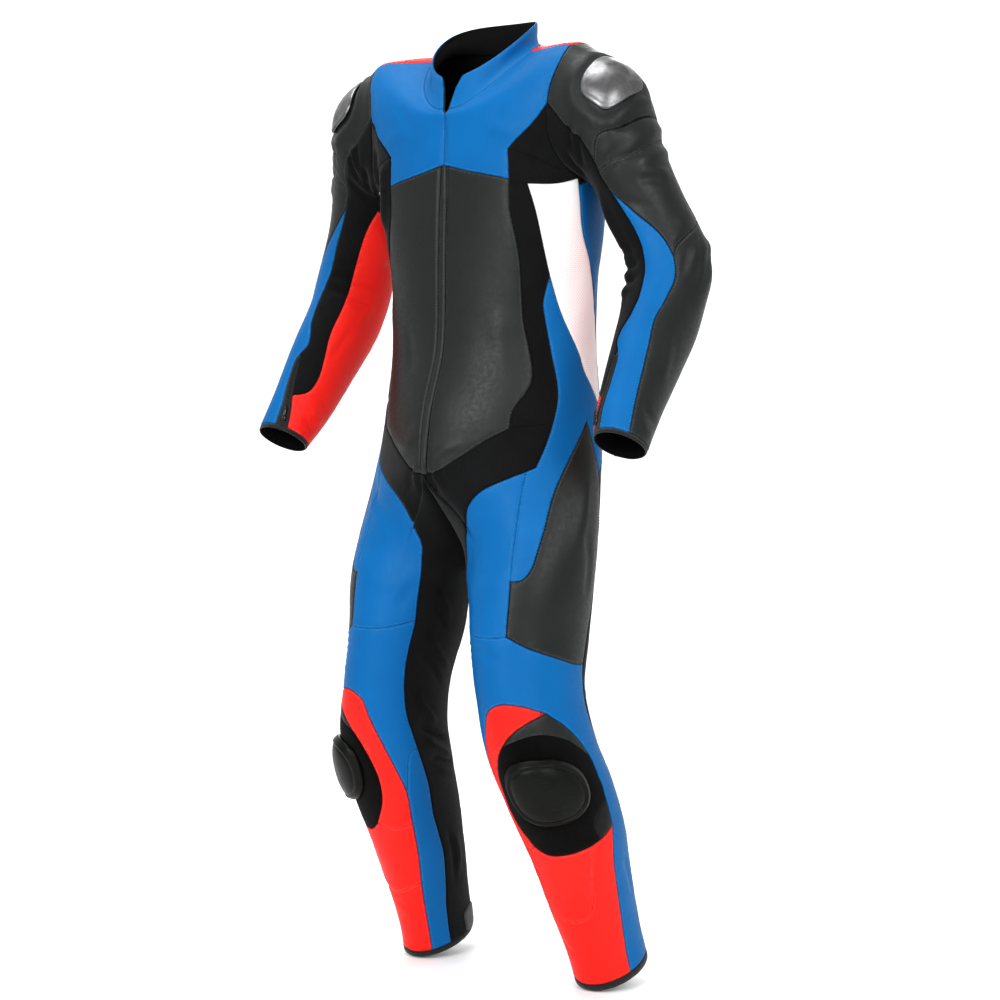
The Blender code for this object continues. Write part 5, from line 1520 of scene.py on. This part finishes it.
def threadLines(surface):  # the sewn lines as runs of points
    lines = [line for line in surface.strong + surface.soft if line in surface.sewn]
    after = {}
    for a, b in lines:
        after.setdefault(a, []).append(b)
        after.setdefault(b, []).append(a)
    used, chains = set(), []
    starts = sorted(after, key=lambda k: (len(after[k]) == 2, k))
    for start in starts:
        for nxt in after[start]:
            if (start, nxt) in used:
                continue
            chain, last, here = [start], start, nxt
            while True:
                used |= {(last, here), (here, last)}
                chain.append(here)
                ways = [k for k in after[here] if k != last and (here, k) not in used]
                if len(after[here]) != 2 or not ways:
                    break
                last, here = here, ways[0]
            chains.append(chain)
    return chains


def makeStitches():  # short thread links a little away from the seams, on leather only
    pitch, away = stitchLook["pitch"], stitchLook["away"]
    total = 0
    gathered = {}
    for surface in surfaces.values():
        middles = surface.points[surface.faces].mean(axis=1)
        faceTree = treeOf(middles)
        for chain in threadLines(surface):
            line = surface.points[chain]
            turn, run = surface.turn[chain], surface.run[chain]
            lengths = np.concatenate([[0], np.cumsum(np.linalg.norm(np.diff(line, axis=0), axis=1))])
            if lengths[-1] < 3 * pitch:
                continue
            at = np.arange(pitch * 0.6, lengths[-1] - pitch * 0.4, pitch)
            ahead = at + stitchLook["ahead"]
            turns, runs = np.interp(at, lengths, turn), np.interp(at, lengths, run)
            points, normals = surface.place(turns, runs), outwards(surface.place, turns, runs)
            onward = surface.place(np.interp(ahead, lengths, turn), np.interp(ahead, lengths, run)) - points
            size = np.linalg.norm(onward, axis=1)
            ok = size > 1e-6
            onward = onward / np.maximum(size, 1e-9)[:, None]
            across = np.cross(normals, onward)
            for way in (1, -1):
                places = points + across * away * way
                for k in np.nonzero(ok)[0]:
                    found = faceTree.find(places[k])
                    seamGap = min(strongTree.find(places[k])[2], softTree.find(places[k])[2])
                    if found[2] > stitchLook["onPanel"] or abs(seamGap - away) > stitchLook["offSeam"]:
                        continue
                    face = surface.faces[found[1]]
                    finish = finishOf.get(surface.panelOf[surface.areas[found[1]]], "")
                    if finish not in threads or armholeTree.find(places[k])[2] < stitchLook["armhole"]:
                        continue
                    weights = 1 / (np.linalg.norm(surface.points[face] - places[k], axis=1) + 1e-5)
                    weights /= weights.sum()
                    normal = weights @ surface.normals[face]
                    base = places[k] - normal * ((places[k] - weights @ surface.points[face]) @ normal)
                    for side in ("left", "right"):
                        height = weights @ surface.sides[side][1][face] + stitchLook["lift"]
                        middle = base + normal * height
                        frameAxes = np.stack([onward[k] * stitchLook["length"], across[k] * stitchLook["width"],
                                              normal * stitchLook["width"]])
                        corners = mirroredTo(side, middle + stitchCorners @ frameAxes)
                        gathered.setdefault(finish, []).append((corners, side))
                        total += 1
    for finish, rows in gathered.items():
        vertices = np.concatenate([corners for corners, side in rows])
        faces = np.concatenate([(stitchFaces if side == "left" else stitchFaces[:, ::-1]) + len(corners) * k
                                for k, (corners, side) in enumerate(rows)])
        makePiece("stitches." + finish.split("_")[0], vertices, faces, [threads[finish]], finish)
    print("stitches:", total)


makeStitches()

tabForm = {
    "turn": 244, "run": 0.028, "halfTurn": 17, "halfRun": 0.02, "square": 6.0, "lift": 0.0004, "wall": 0.0022,
    "profile": ((1.0, 0.0), (0.97, 0.75), (0.9, 1.0), (0.7, 1.0), (0.45, 1.0), (0.2, 1.0), (0, 1.0), (0, 0.0)),
    "points": 40, "scale": 0.0011, "fill": 0.96,  # metres to a degree, and how much of its box the tab fills
}


def liftedPlaces(surface, turn, run, lift, side):  # points at a height above the finished outer face
    points, normals = surface.place(turn, run), outwards(surface.place, turn, run)
    outer = heightsAt(surface, points, turn, run, side)[1]
    points = points + normals * (outer + lift)[:, None]
    return mirroredTo(side, points), mirroredTo(side, normals)


def makeTab(side):  # the dark pull tab at the ankle, on the inner back of the hem
    form = tabForm
    rings, places = [], []
    for part, rise in form["profile"]:
        turn, run = superEllipse(form, part, form["points"] if part else 1)
        rings.append(liftedPlaces(body, wrapTurn(turn), run, form["lift"] + form["wall"] * rise, side)[0])
        places.append(np.stack([turn * form["scale"], run], axis=1))
    piece = makePiece("ankleTab." + side, *ringShell(rings), [finishes["tab"]], "zip_black", None,
                      np.concatenate(places))


for side in ("left", "right"):
    makeTab(side)


def makeBlocks(name, blocks, finish, places=False, smooth=True):  # small blocks with bevelled tops from half axes
    vertices, faces = [], []
    bevel, ring = 0.72, ((-1, -1), (1, -1), (1, 1), (-1, 1))
    for middle, along, across, up in blocks:
        corners = [middle + along * i + across * j - up for i, j in ring]
        corners += [middle + along * i * bevel + across * j * bevel + up for i, j in ring]
        blockFaces = [(0, 3, 2), (0, 2, 1), (4, 5, 6), (4, 6, 7)]
        for k in range(4):
            n = (k + 1) % 4
            blockFaces += [(k, n, n + 4), (k, n + 4, k + 4)]
        heart = np.mean(corners, axis=0)
        for face in blockFaces:
            a, b, c = (corners[k] for k in face)
            outward = np.cross(b - a, c - a) @ ((a + b + c) / 3 - heart)
            faces.append([k + len(vertices) for k in (face if outward > 0 else face[::-1])])
        vertices += corners
    makePiece(name, vertices, faces, [finishes[finish]], "zip_black", None,
              np.zeros((len(vertices), 2)) if places else None, smooth=smooth)


wristZip = {
    "line": ((98.5, 0.508), (99, 0.52), (102, 0.541), (107.8, 0.564), (116.5, 0.589), (122.5, 0.612)),
    "samples": 160, "pitch": 0.0022, "tooth": (0.0052, 0.0012, 0.0016), "stagger": 0.0008, "lift": 0.0009,
    "slider": 0.92,  # how far along the line the slider stands
    "sliderBlocks": (  # body, bridge and hanging tab: shift along, height, half sizes
        (0.0, 0.0012, 0.005, 0.0046, 0.0012),
        (0.0, 0.003, 0.003, 0.0012, 0.0008),
        (-0.0095, 0.0032, 0.0085, 0.0028, 0.0007),
    ),
}


def makeWristZip(side):
    form = wristZip
    corners = np.array(form["line"], float)
    at = np.linspace(0, len(corners) - 1, form["samples"])
    turns, runs = (np.interp(at, np.arange(len(corners)), corners[:, j]) for j in range(2))
    line, normals = liftedPlaces(sleeve, turns, runs, form["lift"], side)
    lengths = np.concatenate([[0], np.cumsum(np.linalg.norm(np.diff(line, axis=0), axis=1))])

    def frameAt(where):  # a place along the zip, with its ways along, across and up
        middle, further, normal = (np.array([np.interp(at, lengths, rows[:, j]) for j in range(3)])
                                   for at, rows in ((where, line), (where + 0.001, line), (where, normals)))
        along = (further - middle) / np.linalg.norm(further - middle)
        return middle, along, np.cross(normal, along), normal

    wide, long, high = form["tooth"]
    teeth = []
    for number, where in enumerate(np.arange(form["pitch"], lengths[-1] - form["pitch"], form["pitch"])):
        middle, along, across, normal = frameAt(where)
        shift = across * form["stagger"] * (1 if number % 2 else -1)
        teeth.append((middle + shift, along * long / 2, across * wide / 2, normal * high / 2))
    makeBlocks(f"wristZipTeeth.{side}", teeth, "zip_black", places=True, smooth=False)
    middle, along, across, normal = frameAt(lengths[-1] * form["slider"])
    makeBlocks(f"wristZipSlider.{side}", [
        (middle + along * shift + normal * lift, along * long, across * wide, normal * high)
        for shift, lift, long, wide, high in form["sliderBlocks"]
    ], "zinc")


for side in ("left", "right"):
    makeWristZip(side)

slitZip = {
    "runs": (1.492, 1.556), "pitch": 0.0025, "tooth": (0.003, 0.0013, 0.0016), "deep": 0.0022, "inset": 0.0008,
}


def makeSlitTeeth():  # the front zip's teeth along both edges of the open collar
    low, high = slitZip["runs"]
    count = int((high - low) / slitZip["pitch"])
    runs = low + (high - low) * (np.arange(count) + 0.5) / count
    turns = np.interp(runs, [run for turn, run in torsoForm["slit"]], [turn for turn, run in torsoForm["slit"]])
    points, normals = body.place(turns, runs), outwards(body.place, turns, runs)
    long, wide, thick = slitZip["tooth"]
    teeth = []
    for sign in (1, -1):
        mirror = np.array([sign, 1, 1])
        for k in range(count):
            normal = normals[k] * mirror
            along = (points[min(k + 1, count - 1)] - points[max(k - 1, 0)]) * mirror
            along /= np.linalg.norm(along)
            across = np.cross(along, normal) * sign
            middle = points[k] * mirror - normal * slitZip["deep"] - across * slitZip["inset"]
            teeth.append((middle, across * long / 2, along * wide / 2, normal * thick / 2))
    makeBlocks("frontZipTeeth", teeth, "zip_black", places=True, smooth=False)


makeSlitTeeth()
print("zips and tabs made")

stageLook = {
    "floor": "#fcfcfc", "drop": 0.002, "reach": 1.7, "corners": 96,
    "paint": "#fbfbfb", "room": 0.62, "backdrop": 1.15, "backdropTurn": 37.71, "fade": (-0.3, 0.93),
}
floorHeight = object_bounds()[0][2] - stageLook["drop"]
floorMesh = bpy.data.meshes.new("floor")
rim = [math.tau * k / stageLook["corners"] for k in range(stageLook["corners"])]
rim = [(stageLook["reach"] * math.cos(at), stageLook["reach"] * math.sin(at), floorHeight) for at in rim]
floorMesh.from_pydata(rim, [], [range(len(rim))])
floorMesh.materials.append(startMaterial("matt-paper-floor", {
    "Base Color": linearColour(stageLook["floor"]), "Roughness": 0.9, "Specular IOR Level": 0.2})[0])
floor = bpy.data.objects.new("floor", floorMesh)
sceneCollection.objects.link(floor)

world = bpy.data.worlds.new("studio")  # a pale room with a lit wall behind
bpy.context.scene.world = world
world.use_nodes = True
background = world.node_tree.nodes["Background"]
background.inputs["Color"].default_value = linearColour(stageLook["paint"])
behind = math.radians(stageLook["backdropTurn"])
wall = (-math.sin(behind), math.cos(behind), 0.0)
direction = addNode(world.node_tree, "TexCoord")
facing = addNode(world.node_tree, "VectorMath", (direction, wall), "Value", operation="DOT_PRODUCT")
levels = (*stageLook["fade"], stageLook["room"], stageLook["backdrop"])
strength = addNode(world.node_tree, "MapRange", (facing, *levels))
world.node_tree.links.new(strength, background.inputs["Strength"])

lightRows = (  # name, place, aim, width, height, watts
    ("keySoftbox", (0.9, -3.9, 0.8), (0.0, 0.0, -0.6), 1.8, 2.4, 112.0),
    ("sideSoftbox", (3.4, -1.4, 0.6), (0.0, 0.0, -0.65), 1.2, 2.2, 58.0),
    ("topSoftbox", (-0.4, -0.4, 2.8), (0.0, 0.0, -0.4), 2.0, 2.0, 70.0),
    ("backSoftbox", (-2.2, 3.2, 1.0), (0.0, 0.0, -0.6), 1.8, 2.4, 60.0),
)
for name, place, aim, width, height, watts in lightRows:
    data = bpy.data.lights.new(name, "AREA")
    data.shape, data.size, data.size_y, data.energy = "RECTANGLE", width, height, watts
    lamp = bpy.data.objects.new(name, data)
    lamp.location = place
    lamp.rotation_euler = (Vector(aim) - Vector(place)).to_track_quat("-Z", "Y").to_euler()
    sceneCollection.objects.link(lamp)

cameraLook = {"place": (2.251, -2.8605, -0.484), "pitch": 87.15, "turn": 37.71, "lens": 84.7, "sensor": 36.0}
cameraData = bpy.data.cameras.new("camera")
cameraData.lens, cameraData.sensor_width = cameraLook["lens"], cameraLook["sensor"]
camera = bpy.data.objects.new("camera", cameraData)
camera.location = cameraLook["place"]
camera.rotation_euler = (math.radians(cameraLook["pitch"]), 0.0, math.radians(cameraLook["turn"]))
sceneCollection.objects.link(camera)
bpy.context.scene.camera = camera
bpy.context.scene.view_settings.view_transform = "Standard"
bpy.context.scene.view_settings.look = "Medium High Contrast"
print("stage, lights and camera set")
